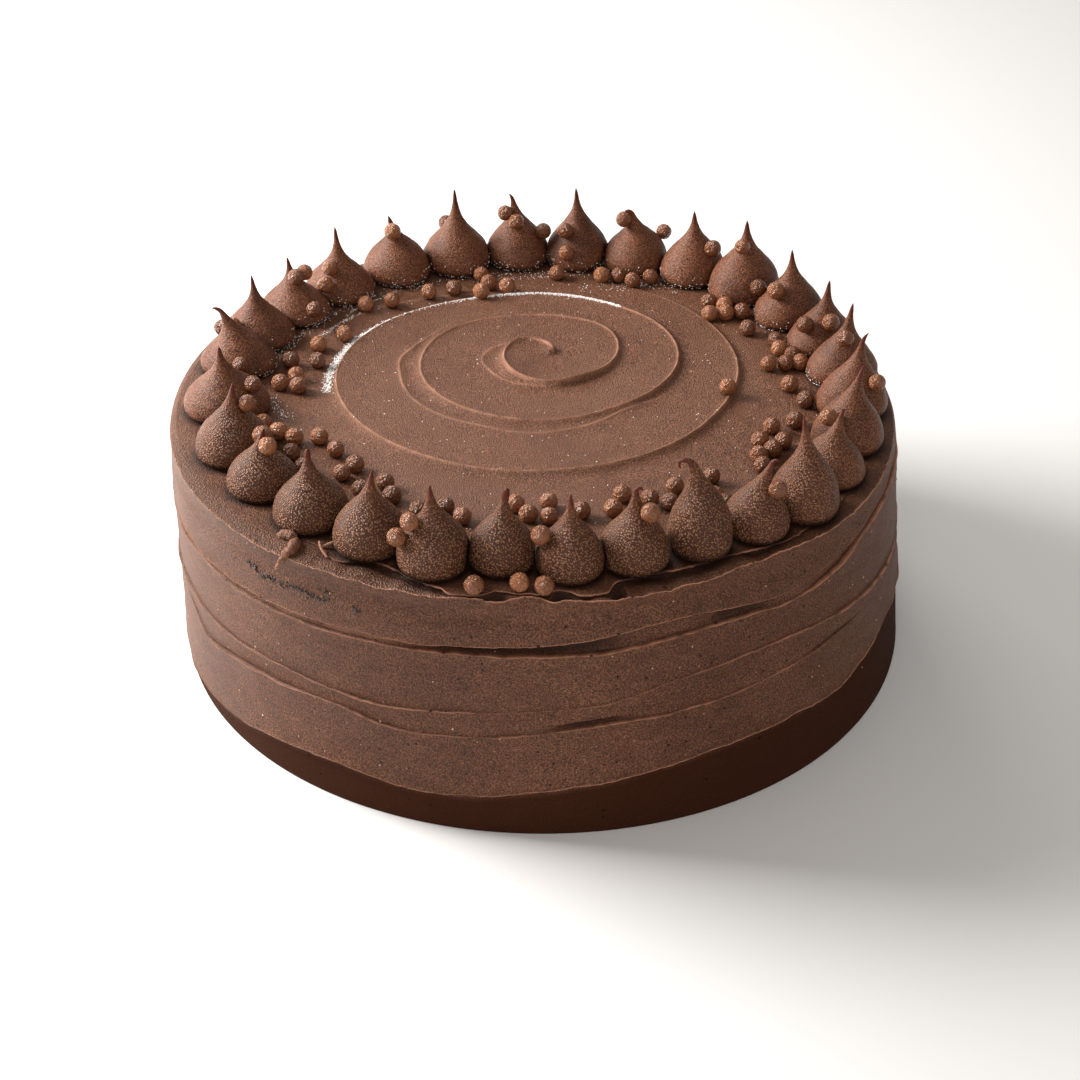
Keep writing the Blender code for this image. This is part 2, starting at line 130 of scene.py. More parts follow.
def smooth_through(place, value, at):
    """Give a smooth curve's value at each place, through its known places and values."""
    slope = np.gradient(value, place)
    index = np.clip(np.searchsorted(place, at) - 1, 0, len(place) - 2)
    width = place[index + 1] - place[index]
    share = (at - place[index]) / width
    square, cube = share ** 2, share ** 3
    return ((2 * cube - 3 * square + 1) * value[index]
            + (cube - 2 * square + share) * width * slope[index]
            + (3 * square - 2 * cube) * value[index + 1]
            + (cube - square) * width * slope[index + 1])


def smooth_line(points, bearings):
    """Give a smooth closed line's value at each bearing, through its (bearing, value) points."""
    known = sorted((place % 360.0, value) for place, value in points)
    place = np.array([p + turn for turn in (-360.0, 0.0, 360.0) for p, _ in known])
    value = np.array([v for _, v in known] * 3, float)
    return smooth_through(place, value, np.asarray(bearings, float) % 360.0)


def wobble(bearings, seed, low, high):
    """Give an uneven closed line of about -1 to 1, with from low to high waves in a turn."""
    draw = np.random.default_rng(seed)
    counts = np.unique(np.round(np.geomspace(low, high, 12)))
    total = np.zeros_like(np.asarray(bearings, float))
    for count in counts:
        total += np.sin(np.radians(bearings) * count + draw.uniform(0.0, 2 * math.pi))
    return total / math.sqrt(len(counts))


def rise(value, low, high):
    """Give 0 below low and 1 above high, with a smooth way between."""
    share = np.clip((value - low) / (high - low), 0.0, 1.0)
    return share * share * (3.0 - 2.0 * share)


def uneven(points, size, seed):
    """Give soft noise of about -1 to 1 at each point, with lumps of a size in metres."""
    move = Vector((seed * 3.1, seed * 1.7, seed * 0.9))
    return np.array([noise.noise(Vector(point) / size + move) for point in points])


def lean_at(height):
    """Give how far the cake's middle has moved along X at a height."""
    return FOOT_SHIFT + (RIM_SHIFT - FOOT_SHIFT) * height / BODY_HEIGHT


def ring_points(bearings, radius, height):
    """Give points round the cake as an array, at a radius and height for each bearing."""
    turn = np.radians(bearings)
    middle = lean_at(height)
    return np.stack([middle + radius * np.sin(turn), -radius * np.cos(turn),
                     np.broadcast_to(height, turn.shape)], axis=1)


def way_out(turn):
    """Give the direction out from the cake's middle at a turn in radians."""
    return Vector((math.sin(turn), -math.cos(turn), 0.0))


def from_middle(turn, reach, height=0.0):
    """Give the point at a turn in radians and a reach from the middle of the top."""
    return Vector((RIM_SHIFT + reach * math.sin(turn), -reach * math.cos(turn), height))


def new_piece(name, points, faces, finish=None, smooth=True, edges=()):
    """Make an object of points and faces, with its place in its mesh."""
    data = bpy.data.meshes.new(name)
    data.from_pydata([tuple(point) for point in points], edges, faces)
    if finish:
        data.materials.append(finish)
    if smooth:
        data.shade_smooth()
    data.validate()
    made = bpy.data.objects.new(name, data)
    bpy.context.scene.collection.objects.link(made)
    return made


def new_line(name, points):
    """Make an object that is one open line through points."""
    return new_piece(name, points, [], smooth=False, edges=[(k, k + 1) for k in range(len(points) - 1)])


def mark(piece, name, values):
    """Keep a number for each point of a piece, for its material to read."""
    layer = piece.data.attributes.new(name, "FLOAT", "POINT")
    layer.data.foreach_set("value", np.asarray(values, np.float32))


front = np.arange(-78.0, 78.0, FRONT_STEP)
back = np.arange(78.0, 282.0, BACK_STEP)
bearings = np.concatenate([front, back])
columns = len(bearings)
from_front = (bearings + 180.0) % 360.0 - 180.0
edge_share = 1.0 / (1.0 + (from_front / EDGE_HALF_ANGLE) ** 8)

lip_lines = [smooth_line(line, bearings) * MM for line, _, _ in LIPS]
for index, line in enumerate(lip_lines):
    line += wobble(bearings, 20 + index, 9, 60) * 0.10 * MM
    line += wobble(bearings, 30 + index, 70, 260) * 0.07 * MM
# The top lip stays above the one below it.
lip_lines[4] = np.maximum(lip_lines[4], lip_lines[3] + 0.6 * MM)
lip_strengths = [np.clip(smooth_line(strength, bearings), 0.0, 2.0) for _, strength, _ in LIPS]
for index, strength in enumerate(lip_strengths):
    strength *= np.clip(1.0 + 0.4 * wobble(bearings, 40 + index, 5, 50), 0.3, 1.7)

rows = [np.full(columns, height * MM) for height in FOOT_ROWS]
for index, line in enumerate(lip_lines):
    rows.extend(line + offset * MM for offset in LIP_ROWS)
    above = lip_lines[index + 1] if index + 1 < len(LIPS) else np.full(columns, LAST_LIP_TOP)
    rows.extend(line + (above - line) * share for share in ROWS_BETWEEN)
rows.extend(np.full(columns, height * MM) for height in RIM_ROWS)
rows = np.clip(np.sort(np.array(rows), axis=0), 0.0, RIM_ROWS[-1] * MM)
for index in range(1, len(rows)):
    rows[index] = np.maximum(rows[index], rows[index - 1] + 0.02 * MM)

rim_radius = smooth_line(RIM_EDGE, bearings) * MM
rim_radius += edge_share * 0.16 * MM * wobble(bearings, 61, 40, 320)
wall_points = []
marks = {"pale_edge": [], "deep": [], "dew": [], "gloss": []}


def add_row(radius, height, pale=0.0, deep=0.0, dew=0.0, gloss=0.0):
    """Add a row of points round the cake, with what its material reads there."""
    wall_points.append((radius, np.array(np.broadcast_to(height, (columns,)), float)))
    for name, value in (("pale_edge", pale), ("deep", deep), ("dew", dew), ("gloss", gloss)):
        marks[name].append(np.broadcast_to(value, (columns,)))


left_front = np.exp(-((from_front + 45.0) / 34.0) ** 4)
line_tone = 0.22 + 0.78 * rise(from_front, -50.0, 0.0)
for height in rows:
    share = height / BODY_HEIGHT
    proud = np.zeros(columns)
    pale = np.zeros(columns)
    deep = np.zeros(columns)
    # Dew beads on the wall, with their painted glints, gather near the rim at the front left.
    dew = 0.10 + 0.25 * left_front * rise(height, 50 * MM, 66 * MM)
    for (_, _, out), line, strength in zip(LIPS, lip_lines, lip_strengths):
        apart = (height - line) * out
        before = np.exp(np.minimum(apart, 0.0) / LIP_BEFORE)
        after = np.exp(-np.maximum(apart, 0.0) / LIP_AFTER)
        side = rise(apart, -0.01 * MM, 0.07 * MM)
        proud += strength * LIP_PROUD * (before * (1.0 - side) - after * side)
        burr = np.exp(-((apart + 0.03 * MM) / BURR_HALF_WIDTH) ** 2)
        proud += np.minimum(strength, 1.2) * BURR_PROUD * burr
        # A pale line along each lip's thin edge, partly its own lighter tone and partly a painted
        # highlight.
        edge_line = np.exp(-((apart + 0.02 * MM) / (0.09 * MM)) ** 2)
        pale = np.maximum(pale, np.clip(1.3 * strength, 0, 1) * edge_line * line_tone)
        # Painted shade in the tuck just past each lip line.
        deep = np.maximum(deep, 0.6 * strength * side * np.exp(-((apart - 0.2 * MM) / (0.3 * MM)) ** 2))
    for lip, middle, half, depth, tall in SLITS:
        line = lip_lines[lip]
        span = lip_lines[lip + 1] - line if tall is None else np.full(columns, tall * MM)
        inside = np.clip((height - line - 0.05 * MM) / np.maximum(span - 0.1 * MM, 0.2 * MM), 0.0, 1.0)
        hole = np.sin(np.pi * inside) ** 0.6 * np.exp(-((from_front - middle) / half) ** 4)
        hole *= rise(span, 0.5 * MM, 1.6 * MM) if tall is None else 1.0
        proud -= hole * depth * MM
        # Each slit is painted dark as well as cut in, as shade in the recess.
        deep = np.maximum(deep, np.clip(hole * depth * 0.6, 0.0, 1.0))
    beaded = left_front * np.exp(-((height - lip_lines[4] + 0.9 * MM) / (1.3 * MM)) ** 2)
    dew = np.maximum(dew, beaded)
    pale = np.maximum(pale, 0.25 * beaded)
    # The band below the lowest lip tucks in a little, and is marked for its painted dark reflection.
    foot = 1.0 - rise(height - lip_lines[0], -1.6 * MM, -0.1 * MM)
    proud -= foot * 0.45 * MM * np.sin(np.pi * np.clip(height / lip_lines[0], 0, 1))
    proud -= edge_share * 0.9 * MM * np.exp(-((height - 64.8 * MM) / (2.6 * MM)) ** 2)
    proud -= 0.6 * MM * np.exp(-height / (0.7 * MM))
    radius = FOOT_RADIUS - 0.25 * MM + (RIM_RADIUS - FOOT_RADIUS) * share + proud
    flare = rise(height, 65.8 * MM, 70.6 * MM) ** 1.3
    radius += (rim_radius - RIM_RADIUS) * flare
    add_row(radius, height, pale, deep, dew, foot)

# From the rim's edge over the shelf behind it, under the coat's torn edge and up onto the coat.
coat_edge = smooth_line(COAT_EDGE, bearings) * MM + 0.18 * MM * wobble(bearings, 71, 50, 330)
coat_edge = np.minimum(coat_edge, rim_radius - 0.55 * MM)
coat_step = np.clip(smooth_line(COAT_STEPS, bearings), 0.0, 1.4) * MM
coat_step *= np.clip(0.9 + 0.3 * wobble(bearings, 72, 12, 90), 0.3, 1.4)
top = BODY_HEIGHT
stepped = np.clip(coat_step / MM, 0.0, 1.0)
shelf = top - coat_step
round_off = (1.0 - edge_share) * 0.8 * MM + edge_share * (1.0 - stepped) * 0.35 * MM
edge_top = np.minimum(shelf + 0.5 * stepped * MM, top - round_off)
edge_top += edge_share * 0.09 * MM * wobble(bearings, 73, 40, 320)
band = np.clip(left_front + 0.25 * edge_share, 0.0, 1.0)
add_row(rim_radius + 0.06 * MM, edge_top - 0.24 * MM, 0.1 * edge_share, 0.0, band)
# The rim's outer edge gets the same pale line, partly a painted highlight.
rim_tone = edge_share * (0.9 - 0.45 * left_front)
add_row(rim_radius + 0.05 * MM, edge_top - 0.09 * MM, rim_tone, 0.0, band)
add_row(rim_radius - 0.08 * MM, edge_top, rim_tone, 0.0, band)
add_row(rim_radius - 0.26 * MM, edge_top - 0.05 * stepped * MM, 0.1 * edge_share, 0.0, band)
slot_share = np.zeros(columns)
for middle, half in RIM_SLOTS:
    slot_share = np.maximum(slot_share, np.exp(-((from_front - middle) / half) ** 6))
for share in (0.12, 0.25, 0.4, 0.55, 0.7, 0.85):
    reach = (rim_radius - 0.26 * MM) * (1.0 - share) + (coat_edge + 0.1 * MM) * share
    grooved = np.exp(-((from_front + 19.0) / 7.0) ** 4) * 0.28 * MM * math.sin(share * 19.0)
    level = (edge_top - 0.05 * stepped * MM) * (1 - share) + shelf * share
    level = level * stepped + (1 - stepped) * (edge_top * (1 - share) ** 2 + top * (1 - (1 - share) ** 2))
    grooved -= slot_share * 1.3 * MM * math.sin(math.pi * min(share + 0.12, 1.0)) ** 0.5
    ridge = np.exp(-((from_front - 26.0) / 9.0) ** 4) * stepped
    grooved += ridge * 0.7 * MM * math.sin(math.pi * min(share / 0.62, 1.0))
    # Painted shade on the shelf, growing under the coat's overhanging edge and filling the rim slots.
    shelf_shade = stepped * (0.15 * share + 0.75 * float(rise(share, 0.6, 0.86)))
    shelf_shade = np.maximum(shelf_shade, slot_share)
    # The shelf's dew beads, with their painted glints, are heaviest next to the rim band and on the raised
    # ridge.
    shelf_dew = np.maximum(band * (1.0 - share) + 0.15, 0.7 * ridge * (share < 0.6))
    add_row(reach, level + grooved, 0.0, shelf_shade, shelf_dew)
under = stepped * 0.9 * MM
# Painted shadow under the coat's torn edge.
add_row(coat_edge - under * 0.5, shelf + 0.08 * coat_step, 0.0, 0.8 * stepped)
add_row(coat_edge - under, shelf + 0.3 * coat_step, 0.0, 0.95 * stepped)
add_row(coat_edge - under * 0.4, shelf + 0.62 * coat_step, 0.0, 0.7 * stepped)
# A pale line along the coat's torn edge, partly a painted highlight.
add_row(coat_edge - 0.04 * MM, shelf + 0.8 * coat_step, 0.3 * stepped, 0.2 * stepped)
add_row(coat_edge + 0.08 * MM * stepped, shelf + coat_step, 0.75 * stepped)
add_row(coat_edge - 0.10 * MM, top + 0.22 * coat_step, 0.35 * stepped)
add_row(coat_edge - 0.4 * MM, top + 0.16 * coat_step, 0.1 * stepped, 0.0, 0.2)
inner_rows = 9
for index in range(0, inner_rows + 1):
    share = index / inner_rows
    reach = (coat_edge - 0.9 * MM) * (1.0 - share) + (SIDE_INNER_RADIUS + 0.6 * MM) * share
    add_row(reach, top + 0.05 * coat_step * (1.0 - share), 0.0, 0.0, 0.2)
add_row(np.full(columns, SIDE_INNER_RADIUS), top - 0.4 * MM)
add_row(np.full(columns, SIDE_INNER_RADIUS - 0.5 * MM), top - 2.0 * MM)

side_points = np.concatenate([ring_points(bearings, radius, height)
                              for radius, height in wall_points])
lumps = uneven(side_points * np.array([1.0, 1.0, 2.2]), 14 * MM, 3) * 0.22 * MM
lumps += uneven(side_points * np.array([1.0, 1.0, 3.0]), 4 * MM, 5) * 0.05 * MM
outward = side_points[:, :2] / np.linalg.norm(side_points[:, :2], axis=1)[:, None]
on_wall = rise(side_points[:, 2], 1.0 * MM, 6.0 * MM) * (1.0 - rise(side_points[:, 2], 66 * MM, 70 * MM))
side_points[:, :2] += outward * (lumps * on_wall)[:, None]
side_faces = []
row_total = len(wall_points)
for row in range(row_total - 1):
    low, high = row * columns, (row + 1) * columns
    for column in range(columns):
        after = (column + 1) % columns
        side_faces.append((low + column, low + after, high + after, high + column))
foot_middle = len(side_points)
side_points = np.vstack([side_points, [[FOOT_SHIFT, 0.0, 0.0]],
                         [[RIM_SHIFT, 0.0, top - 2.0 * MM]]])
last = (row_total - 1) * columns
for column in range(columns):
    after = (column + 1) % columns
    side_faces.append((foot_middle, after, column))
    side_faces.append((foot_middle + 1, last + column, last + after))


class Nodes:
    """Adds nodes to a tree. Their sockets take another node's output or a plain value."""

    def __init__(self, tree):
        self.tree = tree
        self.link = tree.links.new

    def __call__(self, kind, sockets=None, **settings):
        """Add any kind of node with its settings."""
        node = self.tree.nodes.new(kind)
        for key, value in settings.items():
            setattr(node, key, value)
        for key, value in (sockets or {}).items():
            if isinstance(value, bpy.types.NodeSocket):
                self.link(value, node.inputs[key])
            else:
                node.inputs[key].default_value = value
        return node

    def calc(self, operation, *values):
        """Add a sum on numbers."""
        return self("ShaderNodeMath", dict(enumerate(values)), operation=operation).outputs[0]

    def noise(self, place, scale, detail):
        """Add soft noise from 0 to 1."""
        node = self("ShaderNodeTexNoise", {"Vector": place, "Scale": scale, "Detail": detail})
        return node.outputs["Fac"]

    def spread(self, value, low, high, to_low=0.0, to_high=1.0):
        """Stretch the numbers from low to high over another range."""
        return self("ShaderNodeMapRange", {"Value": value, "From Min": low, "From Max": high,
                                           "To Min": to_low, "To Max": to_high}).outputs["Result"]

    def told(self, mark_name):
        """Read a number that was marked on the piece."""
        return self("ShaderNodeAttribute", attribute_name=mark_name).outputs["Fac"]

    def red_of(self, colour):
        """Take a colour's red part."""
        return self("ShaderNodeSeparateColor", {"Color": colour}).outputs[0]

    def blend(self, share, a, b, kind="MIX"):
        """Lay one colour over another."""
        sockets = {0: share, 6: a, 7: b if isinstance(b, bpy.types.NodeSocket) else (*b, 1.0)}
        return self("ShaderNodeMix", sockets, data_type="RGBA", blend_type=kind).outputs[2]

    def colours(self, source, steps):
        """Turn a number into a colour through (place, colour) steps."""
        ramp = self("ShaderNodeValToRGB", {"Fac": source})
        stops = ramp.color_ramp.elements
        while len(stops) < len(steps):
            stops.new(0.5)
        for stop, (place, colour) in zip(stops, steps):
            stop.position = place
            stop.color = (*colour, 1.0)
        return ramp.outputs["Color"]

    def dent(self, shader, height, strength, distance=1.0):
        """Let a height roughen the surface that a shader shows."""
        bump = self("ShaderNodeBump", {"Height": height, "Distance": distance, "Strength": strength})
        self.link(bump.outputs["Normal"], shader.inputs["Normal"])


def start_material(name):
    """Start a material and give it with its nodes, its main shader and its place socket."""
    made = bpy.data.materials.new(name)
    made.use_nodes = True
    add = Nodes(made.node_tree)
    return made, add, add.tree.nodes["Principled BSDF"], add("ShaderNodeTexCoord").outputs["Object"]


def ganache_material(name, dark, middle, light, bead_glint_colour, edge, streaks, bead_size, roughness,
                     grain, pitted):
    """Make set ganache: patchy brown, knife streaks, sandy grain, dew beads with painted glints, pale
    edges partly painted as highlights, and painted shade and dark reflection.

    Streaks squash the drag marks along X, Y and Z. Bead size is in metres. Grain is how rough the
    sandy skin stands, and pitted is the share of air pits that broke open.
    """
    foot_reflection_colour = (0.034, 0.010, 0.004)
    deep_shadow = (0.014, 0.004, 0.002)
    made, add, shader, place = start_material(name)
    calc = add.calc
    stretched = add("ShaderNodeMapping", {"Vector": place, "Scale": streaks}).outputs["Vector"]
    patches = add.noise(place, 34.0, 3.0)
    drags = add.noise(stretched, 300.0, 4.0)
    fine = add.noise(place, 2600.0, 3.0)
    cells = add("ShaderNodeTexVoronoi", {"Vector": place, "Scale": 1.0 / bead_size, "Randomness": 0.85})
    pits = add("ShaderNodeTexVoronoi", {"Vector": place, "Scale": 300.0})

    colour = add.colours(calc("MULTIPLY", calc("ADD", patches, drags), 0.5),
                         ((0.34, dark), (0.5, middle), (0.68, light)))
    sandy = add.colours(fine, ((0.36, (0.27, 0.25, 0.24)), (0.5, (0.92, 0.92, 0.92)),
                               (0.64, (2.2, 2.2, 2.2))))
    colour = add.blend(0.9, colour, sandy, "MULTIPLY")
    # The dew beads are painted lighter in their middles as glints, each of its own strength, and dark in
    # the seams between them as shade; they also raise the surface.
    bead = add.spread(cells.outputs["Distance"], 0.14, 0.54, 1.0, 0.0)
    tone = calc("ADD", 0.6, calc("MULTIPLY", add.red_of(cells.outputs["Color"]), 0.4))
    dew = add.told("dew")
    seam = calc("MULTIPLY", calc("SUBTRACT", 1.0, bead), calc("MULTIPLY", dew, 0.85))
    colour = add.blend(seam, colour, dark)
    colour = add.blend(calc("MULTIPLY", calc("MULTIPLY", bead, tone), dew), colour, bead_glint_colour)
    colour = add.blend(add.told("pale_edge"), colour, edge)
    # Open air pits are dented in and painted near-black, as the shade inside them.
    is_pit = calc("MULTIPLY", calc("LESS_THAN", pits.outputs["Distance"], 0.12),
                  calc("GREATER_THAN", add.red_of(pits.outputs["Color"]), 1.0 - pitted))
    # Painted shade marked on the piece, and in the open pits, darkens towards the shadow colour.
    shadow = calc("MAXIMUM", calc("MULTIPLY", add.told("deep"), 0.85), calc("MULTIPLY", is_pit, 0.9))
    # Painted contact shadow between the kisses and round the feet of kisses and pearls.
    shadow = calc("MAXIMUM", shadow, calc("MULTIPLY", add.told("damp"), 0.92))
    # The foot band is painted near-black as a dark reflection and shade at the foot, and made rougher with
    # less shine.
    foot = add.told("gloss")
    colour = add.blend(calc("MULTIPLY", foot, 0.93), colour, foot_reflection_colour)
    colour = add.blend(shadow, colour, deep_shadow)
    add.link(colour, shader.inputs["Base Color"])
    rough = add.spread(fine, 0.3, 0.7, roughness - 0.06, roughness + 0.1)
    add.link(calc("ADD", rough, calc("MULTIPLY", foot, 0.2)), shader.inputs["Roughness"])
    height = calc("ADD", calc("MULTIPLY", fine, 0.00025 * grain), calc("MULTIPLY", drags, 0.00010))
    height = calc("ADD", height, calc("MULTIPLY", calc("MULTIPLY", bead, dew), 0.00042))
    add.dent(shader, calc("SUBTRACT", height, calc("MULTIPLY", is_pit, 0.0003)), 1.0)
    sheen = calc("SUBTRACT", calc("ADD", 0.19, calc("MULTIPLY", dew, 0.05)), calc("MULTIPLY", foot, 0.15))
    add.link(sheen, shader.inputs["Specular IOR Level"])
    return made


side_finish = ganache_material(
    "scraped_ganache", dark=(0.078, 0.031, 0.016), middle=(0.105, 0.042, 0.022),
    light=(0.132, 0.056, 0.031), bead_glint_colour=(0.30, 0.165, 0.095), edge=(0.60, 0.275, 0.17),
    streaks=(0.4, 0.4, 1.3), bead_size=0.0006, roughness=0.5, grain=1.2, pitted=0.4)
side = new_piece("scraped_side", side_points, side_faces, side_finish)
ragged = np.clip(0.85 + 0.9 * uneven(side_points, 2.5 * MM, 9), 0.25, 1.0)
for mark_name, values in marks.items():
    values = np.concatenate(values + [[0.0, 0.0]])
    mark(side, mark_name, np.clip(values * (ragged if mark_name == "pale_edge" else 1.0), 0.0, 1.0))
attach(side, "root")
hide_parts("cake_body")


# The top of the cake.
# Soft ganache spread level, then worked with the tip of a palette knife while the cake turns.
# The knife leaves a spiral of shallow scoops, each with a thin raised crest, some of them double.
SPIRAL_MIDDLE_X = (1.94, -3.85, 0.36)
SPIRAL_MIDDLE_Y = (22.48, 1.73, -1.91)
SPIRAL_START_BEARING = 96.7
SPIRAL_START_RADIUS = 2.04
SPIRAL_GROWTH = 19.08
SPIRAL_FIRST_TURN = 0.10
SPIRAL_LAST_TURN = 3.25
CREST_BURR = 0.28 * MM
CREST_BURR_HALF_WIDTH = 0.25 * MM
SCOOP_RISE = 0.85 * MM
CREST_FALL = 1.15 * MM
DROP_DEPTH = 0.22 * MM
DROP_LENGTH = 4.5 * MM
INNER_EXTRA = 0.9

# How far the hand strays outside that even spiral, as (turn, mm).
SPIRAL_STRAY = (
    (0.0, -1.4), (0.2, -1.4), (0.27, -0.4), (0.33, 0.95), (0.41, 0.27), (0.51, -1.16),
    (0.58, -1.27), (0.65, -0.27), (0.74, 0.9), (0.85, 0.1), (0.96, 1.6), (1.05, 3.1), (1.09, 3.3),
    (1.17, 0.3), (1.24, -1.4), (1.29, -2.1), (1.36, -1.2), (1.44, -0.1), (1.53, 0.4), (1.61, 0.4),
    (1.69, -0.4), (1.78, -1.2), (1.83, -1.4), (1.91, 0.8), (1.98, 2.8), (2.03, 3.2), (2.07, 2.5),
    (2.15, -0.4), (2.24, -2.5), (2.29, -3.1), (2.36, -1.9), (2.43, 0.4), (2.50, 2.1), (2.55, 1.7),
    (2.63, 1.0), (2.72, 0.35), (2.79, -0.4), (2.85, -0.1), (2.93, 0.3), (2.99, 2.3), (3.05, 2.7),
    (3.12, 3.2), (3.17, 1.6), (3.22, -1.0), (3.5, -1.0))
TOP_RADIUS = 87.4 * MM
TOP_SPACING = 0.82 * MM
CREST_SPACING = 0.55
HOOP_COUNT = 540
CLOSEST_POINTS = 0.17 * MM
CLEAR_OF_CRESTS = 0.45 * MM
SECOND_CREST_RISES = (0.42 * MM, 0.3 * MM, 0.2 * MM)

# The second crests, as (bearing, distance in mm from the middle of the top).
OUTER_SECOND = ((97, 36.9), (91, 36.5), (80, 30.6), (69, 26.1), (50, 23.2), (33, 21.6), (18, 20.9),
                (7, 20.9), (-12, 20.8), (-32, 21.1), (-48, 23.0), (-63, 26.3), (-78, 30.2),
                (-89, 33.3), (-109, 38.9), (-119, 42.2), (-131, 43.5), (-144, 45.9), (-152, 48.2))
INNER_SECOND = ((126, 16.5), (126.5, 12.0), (127, 7.9), (150, 5.2), (187, 5.3), (206, 6.6),
                (218, 9.2), (221, 14.0), (219, 19.4), (216, 23.6), (211, 26.6), (204, 29.0),
                (194, 30.8), (183, 30.7))
LAST_SWEEP = ((-178, 62.0), (-150, 66.0), (-128, 69.5), (-110, 71.5))


def spiral_middle(turn):
    """Give the middle that the spiral winds round at a turn, in millimetres."""
    powers = np.array([np.ones_like(turn), turn, turn * turn])
    return np.array(SPIRAL_MIDDLE_X) @ powers, np.array(SPIRAL_MIDDLE_Y) @ powers


def stray_at(turn):
    """Give how far the spiral strays outward at a turn, in millimetres, smoothed a little."""
    places, values = np.array(SPIRAL_STRAY).T
    near = [np.interp(turn + moved, places, values) for moved in (-0.02, -0.01, 0.0, 0.01, 0.02)]
    return np.mean(near, axis=0)


def spiral_line():
    """Give the crest of the spiral as evenly spaced points in metres, with each point's turn."""
    turns = [SPIRAL_FIRST_TURN]
    while turns[-1] < SPIRAL_LAST_TURN:
        radius = SPIRAL_START_RADIUS + SPIRAL_GROWTH * turns[-1]
        turns.append(turns[-1] + CREST_SPACING / (2 * math.pi * radius))
    turns = np.array(turns)
    middle_x, middle_y = spiral_middle(turns)
    angle = np.radians(SPIRAL_START_BEARING + 360.0 * turns)
    radius = SPIRAL_START_RADIUS + SPIRAL_GROWTH * turns + stray_at(turns)
    return np.stack([middle_x + radius * np.sin(angle), middle_y - radius * np.cos(angle)], 1) * MM, turns


def plan_line(points):
    """Give a smooth open line seen from above through (bearing, distance) points, in metres."""
    angle = np.radians([place for place, _ in points])
    reach = np.array([distance for _, distance in points])
    rough = np.stack([RIM_SHIFT / MM + reach * np.sin(angle), -reach * np.cos(angle)], 1)
    along = np.concatenate([[0], np.cumsum(np.linalg.norm(np.diff(rough, axis=0), axis=1))])
    at = np.linspace(0.0, along[-1], max(int(along[-1] / CREST_SPACING), 4))
    return np.stack([smooth_through(along, rough[:, axis], at) for axis in (0, 1)], 1) * MM


def beside(line, aside):
    """Give a line moved sideways by a distance."""
    along = np.gradient(line, axis=0)
    along /= np.linalg.norm(along, axis=1)[:, None]
    return line + np.stack([along[:, 1], -along[:, 0]], 1) * aside


def nearest_on(line, points):
    """Give the distance from each point to a line, and the index of the line's nearest point."""
    tree = kdtree.KDTree(len(line))
    for index, (x, y) in enumerate(line):
        tree.insert((x, y, 0.0), index)
    tree.balance()
    found = [tree.find((x, y, 0.0)) for x, y in points]
    return np.array([f[2] for f in found]), np.array([f[1] for f in found])


crest, crest_turns = spiral_line()
second_crests = [plan_line(OUTER_SECOND), plan_line(INNER_SECOND), plan_line(LAST_SWEEP)]
sown = [crest]
sown += [beside(crest, aside * MM) for aside in (-1.5, -0.9, -0.5, -0.24, 0.24, 0.5, 0.9, 1.5)]
for line in second_crests:
    sown += [line] + [beside(line, aside * MM) for aside in (-1.0, -0.5, -0.25, 0.25, 0.5, 1.0)]
sown = np.concatenate(sown)
keeper = kdtree.KDTree(len(sown))
kept = []
for index, (x, y) in enumerate(sown):
    keeper.insert((x, y, 0.0), index)
keeper.balance()
dropped = set()
for index, (x, y) in enumerate(sown):
    if index in dropped:
        continue
    kept.append((x, y))
    for _, other, _ in keeper.find_range((x, y, 0.0), CLOSEST_POINTS):
        if other > index:
            dropped.add(other)
lattice = []
row_step = TOP_SPACING * math.sqrt(3) / 2
for row in range(int(-TOP_RADIUS / row_step), int(TOP_RADIUS / row_step) + 1):
    for place in range(int(-TOP_RADIUS / TOP_SPACING), int(TOP_RADIUS / TOP_SPACING) + 1):
        x = (place + 0.5 * (row % 2)) * TOP_SPACING
        y = row * row_step
        if math.hypot(x, y) > SIDE_INNER_RADIUS + 0.1 * MM:
            continue
        x += RIM_SHIFT
        if keeper.find((x, y, 0.0))[2] > CLEAR_OF_CRESTS:
            lattice.append((x, y))
hoop = [(RIM_SHIFT + reach * math.sin(2 * math.pi * k / HOOP_COUNT),
         -reach * math.cos(2 * math.pi * k / HOOP_COUNT))
        for reach in (TOP_RADIUS, SIDE_INNER_RADIUS + 0.6 * MM) for k in range(HOOP_COUNT)]
flat_points = [Vector(point) for point in hoop + kept + lattice]
hoop_edges = [(k, (k + 1) % HOOP_COUNT) for k in range(HOOP_COUNT)]
plan, _, top_faces, _, _, _ = delaunay_2d_cdt(flat_points, hoop_edges, [], 1, 1e-7, False)
plan = np.array([tuple(point) for point in plan])
reach_from_middle = np.hypot(plan[:, 0] - RIM_SHIFT, plan[:, 1])

turns_out = np.clip((reach_from_middle / MM - 10.0) / 19.0, 0.0, 3.3)
stray = np.zeros(len(plan))
for _ in range(6):
    middle_x, middle_y = spiral_middle(np.clip(turns_out, 0.0, 3.4))
    away_x = plan[:, 0] / MM - middle_x
    away_y = plan[:, 1] / MM - middle_y
    bearing_share = ((np.degrees(np.arctan2(away_x, -away_y)) - SPIRAL_START_BEARING) / 360.0) % 1.0
    turns_out = (np.hypot(away_x, away_y) - stray - SPIRAL_START_RADIUS) / SPIRAL_GROWTH
    inner_turn = np.floor(turns_out - bearing_share) + bearing_share
    phase = turns_out - inner_turn
    stray = stray_at(inner_turn) * (1.0 - phase) + stray_at(inner_turn + 1.0) * phase
outer_turn = inner_turn + 1.0


def crest_strength(turn):
    """Give how strong the spiral's crest is at a turn: it starts and fades softly."""
    uneven_part = 1.0 + 0.22 * np.sin(turn * 17.0) * np.sin(turn * 7.3 + 1.0)
    inner = 1.0 + INNER_EXTRA * (1.0 - rise(turn, 0.45, 1.1))
    return rise(turn, 0.02, 0.2) * (1.0 - rise(turn, 2.95, 3.25)) * uneven_part * inner


